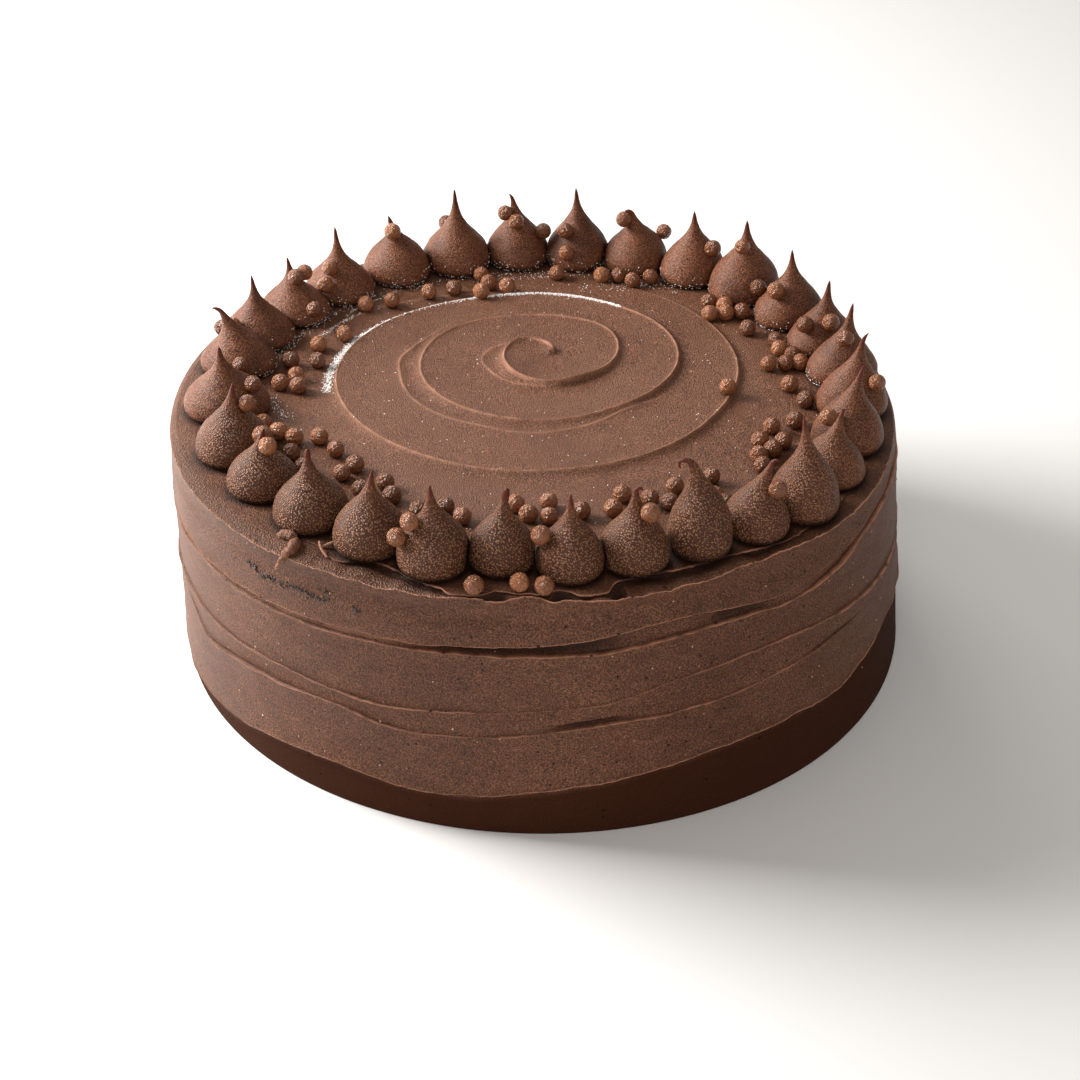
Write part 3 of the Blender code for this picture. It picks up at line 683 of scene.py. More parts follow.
relief = crest_strength(outer_turn) * SCOOP_RISE * phase ** 2.4
past_crest = phase * SPIRAL_GROWTH * MM
behind = SCOOP_RISE * np.exp(-(past_crest / CREST_FALL) ** 1.5)
behind -= DROP_DEPTH * np.exp(-past_crest / DROP_LENGTH) * rise(past_crest, 0.0, 2.0 * MM)
relief += crest_strength(inner_turn) * behind
crest_apart, crest_index = nearest_on(crest, plan)
strength_here = crest_strength(crest_turns[crest_index])
relief += strength_here * CREST_BURR * np.exp(-(crest_apart / CREST_BURR_HALF_WIDTH) ** 2)
# A pale line along each crest, partly its own lighter tone and partly a painted highlight.
pale = strength_here * np.exp(-(crest_apart / (0.5 * MM)) ** 2)
for line, height in zip(second_crests, SECOND_CREST_RISES):
    apart, index = nearest_on(line, plan)
    share = index / (len(line) - 1)
    fade = np.minimum(1.0, np.minimum(share, 1.0 - share) * 9.0)
    relief += fade * height * (0.55 * np.exp(-(apart / (0.36 * MM)) ** 2)
                               + 0.45 * np.exp(-(apart / (1.6 * MM)) ** 2))
    pale = np.maximum(pale, 0.7 * fade * np.exp(-(apart / (0.5 * MM)) ** 2))
flat_share = 1.0 - rise(reach_from_middle, 76 * MM, 86 * MM)
relief *= flat_share
plan_points = np.column_stack([plan, np.zeros(len(plan))])
relief += uneven(plan_points, 26 * MM, 2) * 0.22 * MM * flat_share
relief += uneven(plan_points, 7 * MM, 4) * 0.07 * MM * flat_share
top_heights = BODY_HEIGHT + relief
top_heights -= rise(reach_from_middle, SIDE_INNER_RADIUS + 0.6 * MM, TOP_RADIUS) * 0.4 * MM
top_points = np.column_stack([plan, top_heights])

top_count = len(top_points)
angles = np.arctan2(plan[:, 0] - RIM_SHIFT, -plan[:, 1]) % (2 * math.pi)
outermost = np.where(reach_from_middle > TOP_RADIUS - 1e-5)[0]
rim_loop = list(outermost[np.argsort(angles[outermost])])
under = [(top_points[k][0], top_points[k][1], BODY_HEIGHT - 1.6 * MM) for k in rim_loop]
top_points = np.vstack([top_points, under, [[RIM_SHIFT, 0.0, BODY_HEIGHT - 1.6 * MM]]])
top_faces = [tuple(face) for face in top_faces]
loop_length = len(rim_loop)
for k in range(loop_length):
    after = (k + 1) % loop_length
    top_faces.append((rim_loop[after], rim_loop[k], top_count + k, top_count + after))
    top_faces.append((top_count + after, top_count + k, top_count + loop_length))

top_finish = ganache_material(
    "spread_ganache", dark=(0.118, 0.046, 0.023), middle=(0.140, 0.057, 0.030),
    light=(0.165, 0.070, 0.038), bead_glint_colour=(0.27, 0.145, 0.082), edge=(0.42, 0.205, 0.120),
    streaks=(0.8, 0.8, 1.0), bead_size=0.0005, roughness=0.47, grain=2.2, pitted=0.0)
top_piece = new_piece("spread_top", top_points, top_faces, top_finish)
shape = bmesh.new()
shape.from_mesh(top_piece.data)
bmesh.ops.recalc_face_normals(shape, faces=shape.faces)
shape.to_mesh(top_piece.data)
shape.free()
ragged = np.clip(0.6 + 0.6 * uneven(top_points, 3.0 * MM, 12), 0.1, 1.0)
pale = np.concatenate([np.clip(pale, 0, 1), np.zeros(loop_length + 1)])
mark(top_piece, "pale_edge", pale * ragged * 0.9)
mark(top_piece, "dew", np.clip(0.14 + 0.3 * uneven(top_points, 30 * MM, 15), 0.05, 0.5))
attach(top_piece, "root")
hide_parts("cake_body")
top_surface = BVHTree.FromPolygons([tuple(p) for p in top_points[:top_count]],
                                   [f for f in top_faces if max(f) < top_count])


# The piped kisses.
# Whipped ganache pressed from a plain round nozzle held upright, 29 of them side by side round
# the rim. The nozzle is pulled away upward, so each ends in a thin tip that leans or curls over.
KISSES = (
    # Bearing, ring radius, width, height, lean right, lean back, fullness (lengths in mm).
    (291.9, 84.3, 19.5, 21.0, 1.1, 0.0, 0.8),
    (305.0, 84.5, 17.6, 17.2, 1.4, 0.0, 0.9),
    (318.6, 84.0, 18.6, 19.7, 0.2, 0.5, 0.8),
    (332.1, 85.1, 18.4, 21.4, 1.4, 0.0, 0.8),
    (344.2, 87.2, 18.4, 22.5, -0.5, 0.0, 0.9),
    (355.2, 83.2, 17.0, 20.6, 1.3, 0.5, 0.8),
    (6.4, 86.6, 17.0, 21.2, 0.0, 0.0, 0.8),
    (17.2, 86.0, 17.8, 20.6, 0.0, 0.5, 0.7),
    (28.7, 87.2, 15.9, 25.0, -3.0, 0.5, 0.9),
    (39.6, 88.6, 16.2, 20.2, 3.4, 0.5, 0.7),
    (49.6, 91.0, 17.0, 25.4, -1.5, 3.0, 0.9),
    (61.2, 88.6, 17.0, 18.6, 2.2, 2.4, 0.8),
    (72.8, 87.9, 17.6, 22.8, 2.4, 0.6, 0.8),
    (85.0, 87.4, 18.0, 23.0, 1.8, 0.5, 0.6),
    (97.0, 87.0, 18.2, 22.2, 1.2, 0.5, 0.5),
    (108.8, 87.0, 18.4, 20.6, 0.6, 0.0, 0.5),
    (121.4, 87.2, 19.0, 21.5, -0.5, 0.0, 0.6),
    (134.6, 87.8, 20.0, 23.0, -0.3, 0.0, 0.8),
    (146.8, 87.5, 19.0, 20.5, -0.3, 0.0, 0.7),
    (159.2, 87.0, 19.0, 17.0, -1.6, 0.0, 0.8),
    (171.0, 85.6, 19.2, 22.8, -0.6, 0.0, 0.5),
    (183.2, 85.2, 19.0, 20.8, -1.8, 0.0, 0.6),
    (195.8, 84.6, 20.4, 23.7, -0.3, 0.0, 0.3),
    (208.8, 84.8, 19.4, 18.5, -1.9, 0.0, 0.8),
    (222.6, 84.2, 19.4, 20.8, -0.6, 0.0, 0.2),
    (235.2, 84.4, 19.2, 17.8, -1.1, 0.0, 0.4),
    (247.2, 84.8, 18.8, 19.7, -0.8, 0.0, 0.4),
    (258.9, 84.0, 19.6, 17.8, -4.2, 1.0, 0.4),
    (275.3, 83.6, 21.5, 18.6, -0.4, 0.5, 0.7),
)
KISS_GAP = 0.3 * MM
KISS_SINK = 0.35 * MM
KISS_OUTWARD_STRETCH = 1.02
KISS_TAIL_STRETCH = 1.2
KISS_RINGS = 64
CURL_RINGS = 14
KISS_SIDES = 60
KISS_FENCE_GAP = 0.08 * MM
KISS_LUMPINESS = 0.4 * MM
KISS_PRESSED_REACH = 0.75 * MM
SLIM_OUTLINE = ((0.0, 0.88), (0.03, 0.94), (0.10, 1.0), (0.24, 0.86), (0.38, 0.56), (0.52, 0.27),
                (0.68, 0.11), (0.84, 0.055), (0.95, 0.035), (1.0, 0.008))
FULL_OUTLINE = ((0.0, 0.88), (0.03, 0.94), (0.10, 1.0), (0.24, 0.98), (0.38, 0.87), (0.52, 0.62),
                (0.68, 0.29), (0.84, 0.11), (0.95, 0.05), (1.0, 0.01))

# Tips that curl over: kiss number, bearing it curls to, degrees it turns, radius of the curl in mm.
KISS_CURLS = {8: (80, 150, 0.9), 9: (270, 205, 1.7), 10: (60, 140, 0.8), 20: (265, 120, 1.3),
              28: (270, 110, 1.5), 22: (270, 40, 3.0), 5: (60, 15, 6.0), 14: (70, 35, 5.0)}

# Tips that broke off short and stayed blunt: kiss number, half its thickness in mm.
KISS_BLUNT_TIPS = {2: 0.6, 3: 0.75, 6: 0.9, 8: 0.42, 9: 0.36, 10: 0.34, 12: 0.5, 23: 0.4}


def kiss_axis(number):
    """Give the line that a kiss is built round, from its foot to its tip."""
    bearing, ring, _, height, right, back, _ = KISSES[number - 1]
    foot = from_middle(math.radians(bearing), ring * MM, BODY_HEIGHT - KISS_SINK + KISS_GAP - 0.05 * MM)
    tall = height * MM + KISS_SINK
    curl_bearing, curl_turn, curl_radius = KISS_CURLS.get(number, (0, 0, 0))
    curl_radius *= MM
    straight_share = 1.0
    if curl_turn:
        tall -= KISS_BLUNT_TIPS.get(number, 0.1) * MM
        straight_share -= curl_radius * math.sin(math.radians(min(curl_turn, 90))) / tall
    points = []
    straight = KISS_RINGS - (CURL_RINGS if curl_turn else 0)
    for index in range(straight):
        share = index / (straight - 1) * straight_share
        point = foot + Vector((right, back, 0.0)) * MM * share ** 3
        point.z += share * tall
        points.append(point)
    if curl_turn:
        heading = (points[-1] - points[-2]).normalized()
        aside = way_out(math.radians(curl_bearing))
        start = points[-1]
        for index in range(1, CURL_RINGS + 1):
            turned = math.radians(curl_turn) * index / CURL_RINGS
            points.append(start + heading * curl_radius * math.sin(turned)
                          + aside * curl_radius * (1.0 - math.cos(turned)))
    return points


class GrowingNodes(Nodes):
    """Adds nodes to a geometry tree with named inputs."""

    def __init__(self, name, inputs):
        super().__init__(bpy.data.node_groups.new(name, "GeometryNodeTree"))
        socket = self.tree.interface.new_socket
        socket("Geometry", in_out="INPUT", socket_type="NodeSocketGeometry")
        for label, kind, value in inputs:
            socket(label, in_out="INPUT", socket_type="NodeSocket" + kind).default_value = value
        socket("Geometry", in_out="OUTPUT", socket_type="NodeSocketGeometry")
        self.inside = self("NodeGroupInput").outputs
        self.here = self("GeometryNodeInputPosition").outputs["Position"]

    def vector(self, operation, a, b=None, out="Vector"):
        """Add a sum on vectors."""
        sockets = {0: a} if b is None else {0: a, 3 if operation == "SCALE" else 1: b}
        return self("ShaderNodeVectorMath", sockets, operation=operation).outputs[out]

    def mix(self, share, a, b):
        """Go from one number to another."""
        return self("ShaderNodeMix", {0: share, 2: a, 3: b}, data_type="FLOAT").outputs[0]

    def curve(self, source, points):
        """Turn a share from 0 to 1 into another number through given points."""
        node = self("ShaderNodeFloatCurve", {"Value": source})
        spots = node.mapping.curves[0].points
        while len(spots) < len(points):
            spots.new(0.5, 0.5)
        for spot, place in zip(spots, points):
            spot.location = place
        node.mapping.update()
        return node.outputs["Value"]

    def random(self, kind, low, high, seed):
        """Draw a number or a vector for each point."""
        number = kind == "FLOAT"
        sockets = {2 if number else 0: low, 3 if number else 1: high, "Seed": seed}
        return self("FunctionNodeRandomValue", sockets, data_type=kind).outputs[1 if number else 0]

    def store(self, body, name, value, kind="FLOAT", domain="POINT"):
        """Keep a value on a geometry under a name."""
        return self("GeometryNodeStoreNamedAttribute", {"Geometry": body, "Name": name, "Value": value},
                    data_type=kind, domain=domain).outputs["Geometry"]

    def stored(self, name, kind="FLOAT"):
        """Read a value that was kept under a name."""
        return self("GeometryNodeInputNamedAttribute", {"Name": name}, data_type=kind).outputs[0]

    def tube(self, line, half, sides):
        """Give a line a round thickness."""
        hoop = self("GeometryNodeCurvePrimitiveCircle", {"Resolution": sides, "Radius": 1.0}).outputs[0]
        return self("GeometryNodeCurveToMesh", {"Curve": line, "Profile Curve": hoop, "Scale": half,
                                                "Fill Caps": True}).outputs["Mesh"]

    def moved(self, body, offset):
        """Move a mesh's points."""
        return self("GeometryNodeSetPosition", {"Geometry": body, "Offset": offset}).outputs["Geometry"]

    def roughened(self, body, scale, depth, times=1.0):
        """Push a mesh's points in and out along its normals by soft noise."""
        lump = self.calc("SUBTRACT", self.noise(self.here, scale, 2.0), 0.5)
        lump = self.calc("MULTIPLY", self.calc("MULTIPLY", lump, depth), times)
        out = self("GeometryNodeInputNormal").outputs["Normal"]
        return self.moved(body, self.vector("SCALE", out, lump))

    def scatter(self, shape, size, seed):
        """Put a shape at every point, each turned its own way."""
        points = self("GeometryNodeMeshToPoints", {"Mesh": self.inside["Geometry"]}).outputs["Points"]
        turn = self.random("FLOAT_VECTOR", (0.0, 0.0, 0.0), (6.28, 6.28, 6.28), seed)
        return self("GeometryNodeInstanceOnPoints", {"Points": points, "Instance": shape, "Rotation": turn,
                                                     "Scale": size}).outputs["Instances"]

    def realized(self, body):
        """Turn instances into plain mesh."""
        return self("GeometryNodeRealizeInstances", {"Geometry": body}).outputs["Geometry"]

    def ended(self, body, smooth=True):
        """End the tree with plain mesh in its finish, and give the tree."""
        if smooth:
            body = self("GeometryNodeSetShadeSmooth", {"Geometry": body, "Shade Smooth": True}).outputs[0]
        body = self("GeometryNodeSetMaterial", {"Geometry": self.realized(body),
                                                "Material": self.inside["Finish"]}).outputs["Geometry"]
        self.link(body, self("NodeGroupOutput").inputs["Geometry"])
        return self.tree


def grow(piece, tree, values):
    """Run a geometry node tree on a piece with named input values, and keep the plain mesh."""
    modifier = piece.modifiers.new("Grown", "NODES")
    modifier.node_group = tree
    for item in tree.interface.items_tree:
        if item.in_out == "INPUT" and item.name in values:
            modifier[item.identifier] = values[item.name]
    graph = bpy.context.evaluated_depsgraph_get()
    mesh = bpy.data.meshes.new_from_object(piece.evaluated_get(graph))
    piece.modifiers.remove(modifier)
    piece.data = mesh


def kiss_tree():
    """Build the tree that turns the line through a kiss into the kiss."""
    add = GrowingNodes("piped kiss", (
        ("Half width", "Float", 9 * MM), ("Fullness", "Float", 0.7), ("Blunt tip", "Float", 0.0),
        ("Outward", "Vector", (1.0, 0.0, 0.0)), ("Left fence", "Vector", (0.0, 1.0, 0.0)),
        ("Right fence", "Vector", (0.0, -1.0, 0.0)), ("Middle of the top", "Vector", (0.0, 0.0, 0.0)),
        ("Gap", "Float", 0.1 * MM), ("Lumpiness", "Float", 0.2 * MM), ("Seed", "Float", 0.0),
        ("Sides", "Int", 48), ("Finish", "Material", None)))
    calc, vector, inside, here = add.calc, add.vector, add.inside, add.here

    line = add("GeometryNodeMeshToCurve", {"Mesh": inside["Geometry"]}).outputs["Curve"]
    along = add("GeometryNodeSplineParameter").outputs["Factor"]
    share = add.mix(inside["Fullness"], add.curve(along, SLIM_OUTLINE), add.curve(along, FULL_OUTLINE))
    blunt = add.curve(along, ((0.0, 1.0), (0.93, 1.0), (0.98, 0.75), (1.0, 0.1)))
    half = calc("MAXIMUM", calc("MULTIPLY", share, inside["Half width"]),
                calc("MULTIPLY", blunt, inside["Blunt tip"]))
    line = add("GeometryNodeSetCurveRadius", {"Curve": line, "Radius": half}).outputs["Curve"]
    line = add.store(line, "up_kiss", along)
    line = add.store(line, "kiss_axis", here, "FLOAT_VECTOR")
    body = add.tube(line, half, inside["Sides"])
    up_share = add.stored("up_kiss")
    from_tip = calc("SUBTRACT", 1.0, up_share)
    aside = vector("SUBTRACT", here, add.stored("kiss_axis", "FLOAT_VECTOR"))
    reach = vector("DOT_PRODUCT", aside, inside["Outward"], "Value")
    tail = calc("MULTIPLY", calc("POWER", from_tip, 2.0), KISS_TAIL_STRETCH - 1.0)
    pull = add.mix(calc("GREATER_THAN", reach, 0.0), tail, KISS_OUTWARD_STRETCH - 1.0)
    body = add.moved(body, vector("SCALE", inside["Outward"], calc("MULTIPLY", reach, pull)))
    seeded = vector("ADD", here, vector("SCALE", (0.37, 0.11, 0.23), inside["Seed"]))
    lump = calc("SUBTRACT", add.noise(seeded, 190.0, 2.0), 0.5)
    lump = calc("MULTIPLY", lump, calc("MULTIPLY", inside["Lumpiness"], 2.0))
    lump = calc("MULTIPLY", lump, calc("POWER", from_tip, 0.6))
    lump = calc("MULTIPLY", lump, calc("MINIMUM", calc("MULTIPLY", up_share, 9.0), 1.0))
    body = add.moved(body, vector("SCALE", vector("NORMALIZE", aside), lump))
    for fence in ("Left fence", "Right fence"):
        gone = vector("SUBTRACT", here, inside["Middle of the top"])
        beyond = calc("ADD", vector("DOT_PRODUCT", gone, inside[fence], "Value"), inside["Gap"])
        over = calc("SMOOTH_MAX", beyond, 0.0, 0.5 * MM)
        over = calc("MULTIPLY", over, calc("GREATER_THAN", beyond, -0.5 * MM))
        body = add.moved(body, vector("SCALE", inside[fence], calc("MULTIPLY", over, -1.0)))
    return add.ended(body)


piped_finish = ganache_material(
    "piped_ganache_dew", dark=(0.056, 0.018, 0.008), middle=(0.132, 0.047, 0.022),
    light=(0.145, 0.053, 0.025), bead_glint_colour=(0.54, 0.265, 0.140), edge=(0.095, 0.016, 0.007),
    streaks=(0.6, 0.6, 0.3), bead_size=0.00058, roughness=0.42, grain=0.9, pitted=0.0)
kiss_maker = kiss_tree()
kiss_pieces = []
for number in range(1, len(KISSES) + 1):
    bearing, _, width, _, _, _, fullness = KISSES[number - 1]
    kiss = new_line(f"piped_kiss_{number:02d}", kiss_axis(number))
    fences = []
    for step in (-1, 1):
        apart = (KISSES[(number - 1 + step) % len(KISSES)][0] - bearing + 180.0) % 360.0 - 180.0
        fences.append(way_out(math.radians(bearing + apart / 2.0 + 90.0 * step)))
    grow(kiss, kiss_maker, {
        "Half width": width * MM / 2.0, "Fullness": fullness,
        "Blunt tip": KISS_BLUNT_TIPS.get(number, 0.0) * MM, "Outward": way_out(math.radians(bearing)),
        "Left fence": fences[0], "Right fence": fences[1], "Middle of the top": (RIM_SHIFT, 0.0, 0.0),
        "Gap": KISS_FENCE_GAP, "Lumpiness": KISS_LUMPINESS, "Seed": float(number),
        "Sides": KISS_SIDES, "Finish": piped_finish})
    up_values = np.zeros(len(kiss.data.vertices), np.float32)
    kiss.data.attributes["up_kiss"].data.foreach_get("value", up_values)
    mark(kiss, "pale_edge", rise(up_values, 0.76, 0.94) * 0.9)
    # The dew beads, with their painted glints, are strongest on the kisses at the front and fade towards
    # each tip.
    at_front = math.exp(-((((bearing + 188.0) % 360.0) - 180.0) / 68.0) ** 6)
    mark(kiss, "dew", (0.12 + 0.88 * at_front) * (1.0 - 0.8 * rise(up_values, 0.5, 0.9)))
    # Painted contact shadow round the foot of each kiss.
    mark(kiss, "deep", 0.95 * (1.0 - rise(up_values, 0.01, 0.12)))
    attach(kiss, "root")
    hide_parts(f"kiss_{number:02d}")
    kiss_pieces.append(kiss)


def surface_of(piece):
    """Give the search tree of a piece's faces."""
    return BVHTree.FromPolygons([v.co for v in piece.data.vertices],
                                [tuple(p.vertices) for p in piece.data.polygons])


kiss_surfaces = [surface_of(kiss) for kiss in kiss_pieces]

# Each kiss is painted dark where it presses against the next one, as the shadow in the gap.
for index, kiss in enumerate(kiss_pieces):
    neighbours = (kiss_surfaces[index - 1], kiss_surfaces[(index + 1) % len(kiss_surfaces)])
    apart = np.array([min(other.find_nearest(v.co)[3] for other in neighbours)
                      for v in kiss.data.vertices])
    mark(kiss, "damp", np.exp(-(apart / KISS_PRESSED_REACH) ** 2))


# The chocolate pearls.
# Crisp grains rolled in milk chocolate and polished, a little under 5 mm across, strewn by hand
# before the ganache set. Most lie inside the ring of kisses, and some stuck to the kisses.
PEARL_RADIUS = 2.4 * MM
PEARL_SUNK = 0.35 * MM
PEARLS_ON_TOP = (
    # Bearing, distance in mm.
    (352.0, 97.3), (358.4, 95.2), (2.0, 96.6),
    (356.2, 59.6), (359.4, 64.4), (4.4, 58.6), (4.0, 65.6), (11.3, 64.2),
    (18.6, 65.0), (22.9, 59.6), (28.0, 64.2), (31.2, 68.2), (36.0, 62.6),
    (39.8, 77.6), (40.2, 72.2), (40.8, 67.0), (45.2, 65.4),
    (56.0, 72.4), (59.4, 69.1), (63.0, 71.0), (65.5, 66.2), (67.2, 72.0), (72.5, 67.0),
    (76.4, 72.5), (85.3, 75.0), (90.0, 53.5), (92.2, 70.7),
    (102.2, 67.3), (101.8, 72.1), (101.4, 77.2), (105.0, 75.4), (108.4, 73.2), (112.2, 74.4),
    (119.7, 70.7), (126.9, 75.7), (128.8, 71.6), (130.9, 67.7), (131.5, 75.4), (135.3, 73.0),
    (152.8, 76.2), (155.8, 72.0), (159.7, 74.9), (163.5, 72.0), (174.2, 70.7),
    (187.0, 62.3), (191.5, 65.4), (192.5, 71.5), (194.6, 59.8), (201.0, 65.0), (207.7, 65.6),
    (218.1, 66.6), (224.2, 69.6), (239.0, 62.3), (247.1, 65.5), (255.0, 62.0),
    (256.5, 69.3), (263.2, 65.6), (267.4, 69.3), (268.6, 64.0),
    (284.6, 74.0), (289.2, 71.2), (292.8, 68.0), (294.8, 61.8), (298.6, 71.6),
    (302.4, 60.8), (304.8, 73.0), (311.2, 60.8), (312.2, 66.0), (320.4, 68.1),
    (322.6, 61.6), (327.4, 65.6), (335.7, 68.8), (340.4, 64.2), (345.2, 67.4),
)
PEARLS_ON_KISSES = (
    # Kiss number, bearing round the kiss, share of the kiss's height.
    (1, 84.8, 0.72), (2, 33.5, 0.80), (2, 181.8, 0.76), (5, 299.6, 0.61), (5, 292.5, 0.43),
    (7, 284.9, 0.50), (8, 54.5, 0.72), (10, 45.7, 0.66), (13, 307.5, 0.47), (14, 40.8, 0.48),
    (15, 346.4, 0.63), (16, 310.1, 0.46), (16, 7.0, 0.52), (17, 253.2, 0.38), (17, 316.5, 0.52),
    (18, 339.2, 0.72), (19, 45.8, 0.53), (20, 298.9, 0.87), (20, 116.0, 0.47), (21, 328.3, 0.51),
    (21, 342.3, 0.29), (22, 306.7, 0.74), (22, 3.1, 0.66), (22, 70.2, 0.47), (23, 200.4, 0.36),
    (24, 6.7, 0.81), (25, 342.6, 0.50), (25, 332.9, 0.32), (26, 32.5, 0.73), (26, 109.4, 0.69),
    (26, 38.6, 0.31), (27, 334.1, 0.37), (28, 209.7, 0.46), (28, 14.1, 0.33), (29, 67.3, 0.50),
)
PEARL_MOVES = (0.0, -0.5, 0.5, -1.0, 1.0, -1.5, 1.5, -2.5, -3.5)
PEARL_TURNS = (0.0, 8.0, -8.0, 16.0, -16.0, 24.0, -24.0, 32.0, -32.0, 45.0, -45.0)


def pearl_centre_on_kiss(number, bearing, share):
    """Give the centre of a pearl pressed to a kiss, turned until it clears the other kisses."""
    foot_bearing, ring, width, height, right, back, _ = KISSES[number - 1]
    axis = from_middle(math.radians(foot_bearing), ring * MM)
    axis += Vector((right, back, 0.0)) * MM * share ** 3
    axis.z = BODY_HEIGHT + KISS_GAP + share * height * MM
    for turned in PEARL_TURNS:
        away = way_out(math.radians(bearing + turned))
        reach = width * MM
        for _ in range(60):
            apart = kiss_surfaces[number - 1].find_nearest(axis + away * reach)[3]
            reach -= apart - (PEARL_RADIUS - PEARL_SUNK)
        centre = axis + away * reach
        others = min(tree.find_nearest(centre)[3]
                     for k, tree in enumerate(kiss_surfaces) if k != number - 1)
        if others > PEARL_RADIUS - 0.1 * MM and centre.z > BODY_HEIGHT + PEARL_RADIUS:
            break
    return centre


def pearl_centre_on_top(bearing, distance):
    """Give the centre of a pearl lying on the top, moved along its radius to clear the kisses."""
    for moved in PEARL_MOVES:
        centre = from_middle(math.radians(bearing), (distance + moved) * MM)
        hit = top_surface.ray_cast(centre + Vector((0, 0, 0.1)), Vector((0, 0, -1)))[0]
        centre.z = (hit.z if hit else BODY_HEIGHT) + PEARL_RADIUS - PEARL_SUNK
        if min(tree.find_nearest(centre)[3] for tree in kiss_surfaces) > PEARL_RADIUS - 0.2 * MM:
            break
    return centre


def pearl_tree():
    """Build the tree that puts an uneven pearl at every point."""
    add = GrowingNodes("chocolate pearls", (
        ("Radius", "Float", 2.4 * MM), ("Size spread", "Float", 0.05), ("Unevenness", "Float", 0.1 * MM),
        ("Seed", "Int", 1), ("Finish", "Material", None)))
    ball = add("GeometryNodeMeshUVSphere", {"Segments": 26, "Rings": 16,
                                            "Radius": add.inside["Radius"]}).outputs["Mesh"]
    low, high = (add.calc(way, 1.0, add.inside["Size spread"]) for way in ("SUBTRACT", "ADD"))
    seed = add.inside["Seed"]
    placed = add.scatter(ball, add.random("FLOAT", low, high, seed), seed)
    placed = add.store(placed, "pearl_shade", add.random("FLOAT", 0.0, 1.0, 5), domain="INSTANCE")
    return add.ended(add.roughened(add.realized(placed), 620.0, add.inside["Unevenness"], 3.0))


pearl_finish, add, shader, place = start_material("polished_milk_chocolate")
wrinkle = add("ShaderNodeTexNoise", {"Vector": place, "Scale": 1300.0, "Detail": 4.0,
                                     "Roughness": 0.6}).outputs["Fac"]
pits = add("ShaderNodeTexVoronoi", {"Vector": place, "Scale": 1100.0}).outputs["Distance"]
mixed = add.calc("MULTIPLY", add.calc("ADD", add.told("pearl_shade"), wrinkle), 0.5)
add.link(add.colours(mixed, ((0.2, (0.110, 0.034, 0.011)), (0.5, (0.205, 0.069, 0.025)),
                             (0.85, (0.35, 0.132, 0.052)))), shader.inputs["Base Color"])
add.link(add.spread(wrinkle, 0.3, 0.7, 0.08, 0.18), shader.inputs["Roughness"])
hollows = add.calc("MULTIPLY", pits, 0.00055)
creases = add.calc("MULTIPLY", wrinkle, 0.0009)
add.dent(shader, add.calc("ADD", hollows, creases), 0.8)
shader.inputs["Specular IOR Level"].default_value = 0.5

pearl_maker = pearl_tree()
loose = [pearl_centre_on_top(bearing, distance) for bearing, distance in PEARLS_ON_TOP]
stuck = [pearl_centre_on_kiss(*row) for row in PEARLS_ON_KISSES]
stuck_nodes = sorted({f"kiss_{row[0]:02d}" for row in PEARLS_ON_KISSES})
for name, centres, nodes, seed in (("pearls_on_top", loose, ["cake_body"], 3),
                                   ("pearls_on_kisses", stuck, stuck_nodes, 8)):
    pearls = new_piece(name, centres, [], pearl_finish, smooth=False)
    grow(pearls, pearl_maker, {"Radius": PEARL_RADIUS, "Size spread": 0.05, "Unevenness": 0.1 * MM,
                               "Seed": seed, "Finish": pearl_finish})
    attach(pearls, "root")
    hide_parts(*nodes)


def sat_on(points, centres, halves, fade):
    """Give how close each point is to the foot of a thing that sits on the cake, from 0 to 1."""
    apart = np.full(len(points), 1.0)
    for centre, half in zip(centres, halves):
        apart = np.minimum(apart, np.hypot(points[:, 0] - centre[0], points[:, 1] - centre[1]) - half)
    return np.exp(-(np.maximum(apart, 0.0) / fade) ** 2)


# A contact shadow is painted on the ganache in the narrow gap round the foot of each kiss and pearl.
feet = [kiss_axis(number)[0] for number in range(1, len(KISSES) + 1)]
foot_halves = [row[2] * MM / 2.0 * 0.97 for row in KISSES]
for piece in (side, top_piece):
    spots = np.array([v.co[:] for v in piece.data.vertices])
    damp = np.maximum(sat_on(spots, feet, foot_halves, 1.5 * MM),
                      0.8 * sat_on(spots, loose, [1.0 * MM] * len(loose), 1.0 * MM))
    mark(piece, "damp", damp * (spots[:, 2] > 69.0 * MM))


# The torn ganache on the rim.
# Where the scraper left the rim at the front left, it pulled a crumb and thin curls of set
# ganache loose. They are the cake's own ganache, still stuck to it at one end.
TORN_BITS = {
    # Name: points as (bearing, distance and height in mm), then half its thickness at each point.
    "torn_curl_hanging": (((-37.9, 94.6, 71.2), (-37.4, 96.2, 71.6), (-37.0, 98.0, 71.6),
                           (-37.0, 99.6, 71.2), (-37.3, 100.8, 70.2), (-37.6, 101.5, 69.0),
                           (-38.0, 101.8, 67.8), (-38.3, 101.7, 66.6)),
                          (1.3, 1.5, 1.35, 1.1, 0.85, 0.6, 0.36, 0.1)),
    "torn_crumb": (((-41.6, 94.4, 70.9), (-40.7, 94.6, 71.6), (-39.8, 94.2, 72.0),
                    (-38.8, 94.2, 71.8), (-38.0, 94.6, 71.3)), (0.7, 1.2, 1.35, 1.2, 0.6)),
    "torn_curl_standing": (((-34.8, 91.8, 71.6), (-34.2, 92.8, 72.7), (-33.0, 94.4, 72.0),
                            (-31.6, 95.4, 71.2)), (0.12, 0.32, 0.4, 0.3)),
    "torn_curl_behind": (((-33.8, 92.6, 71.2), (-32.6, 91.4, 72.6), (-31.6, 90.2, 73.6),
                          (-31.0, 89.4, 73.9)), (0.5, 0.36, 0.22, 0.08)),
}


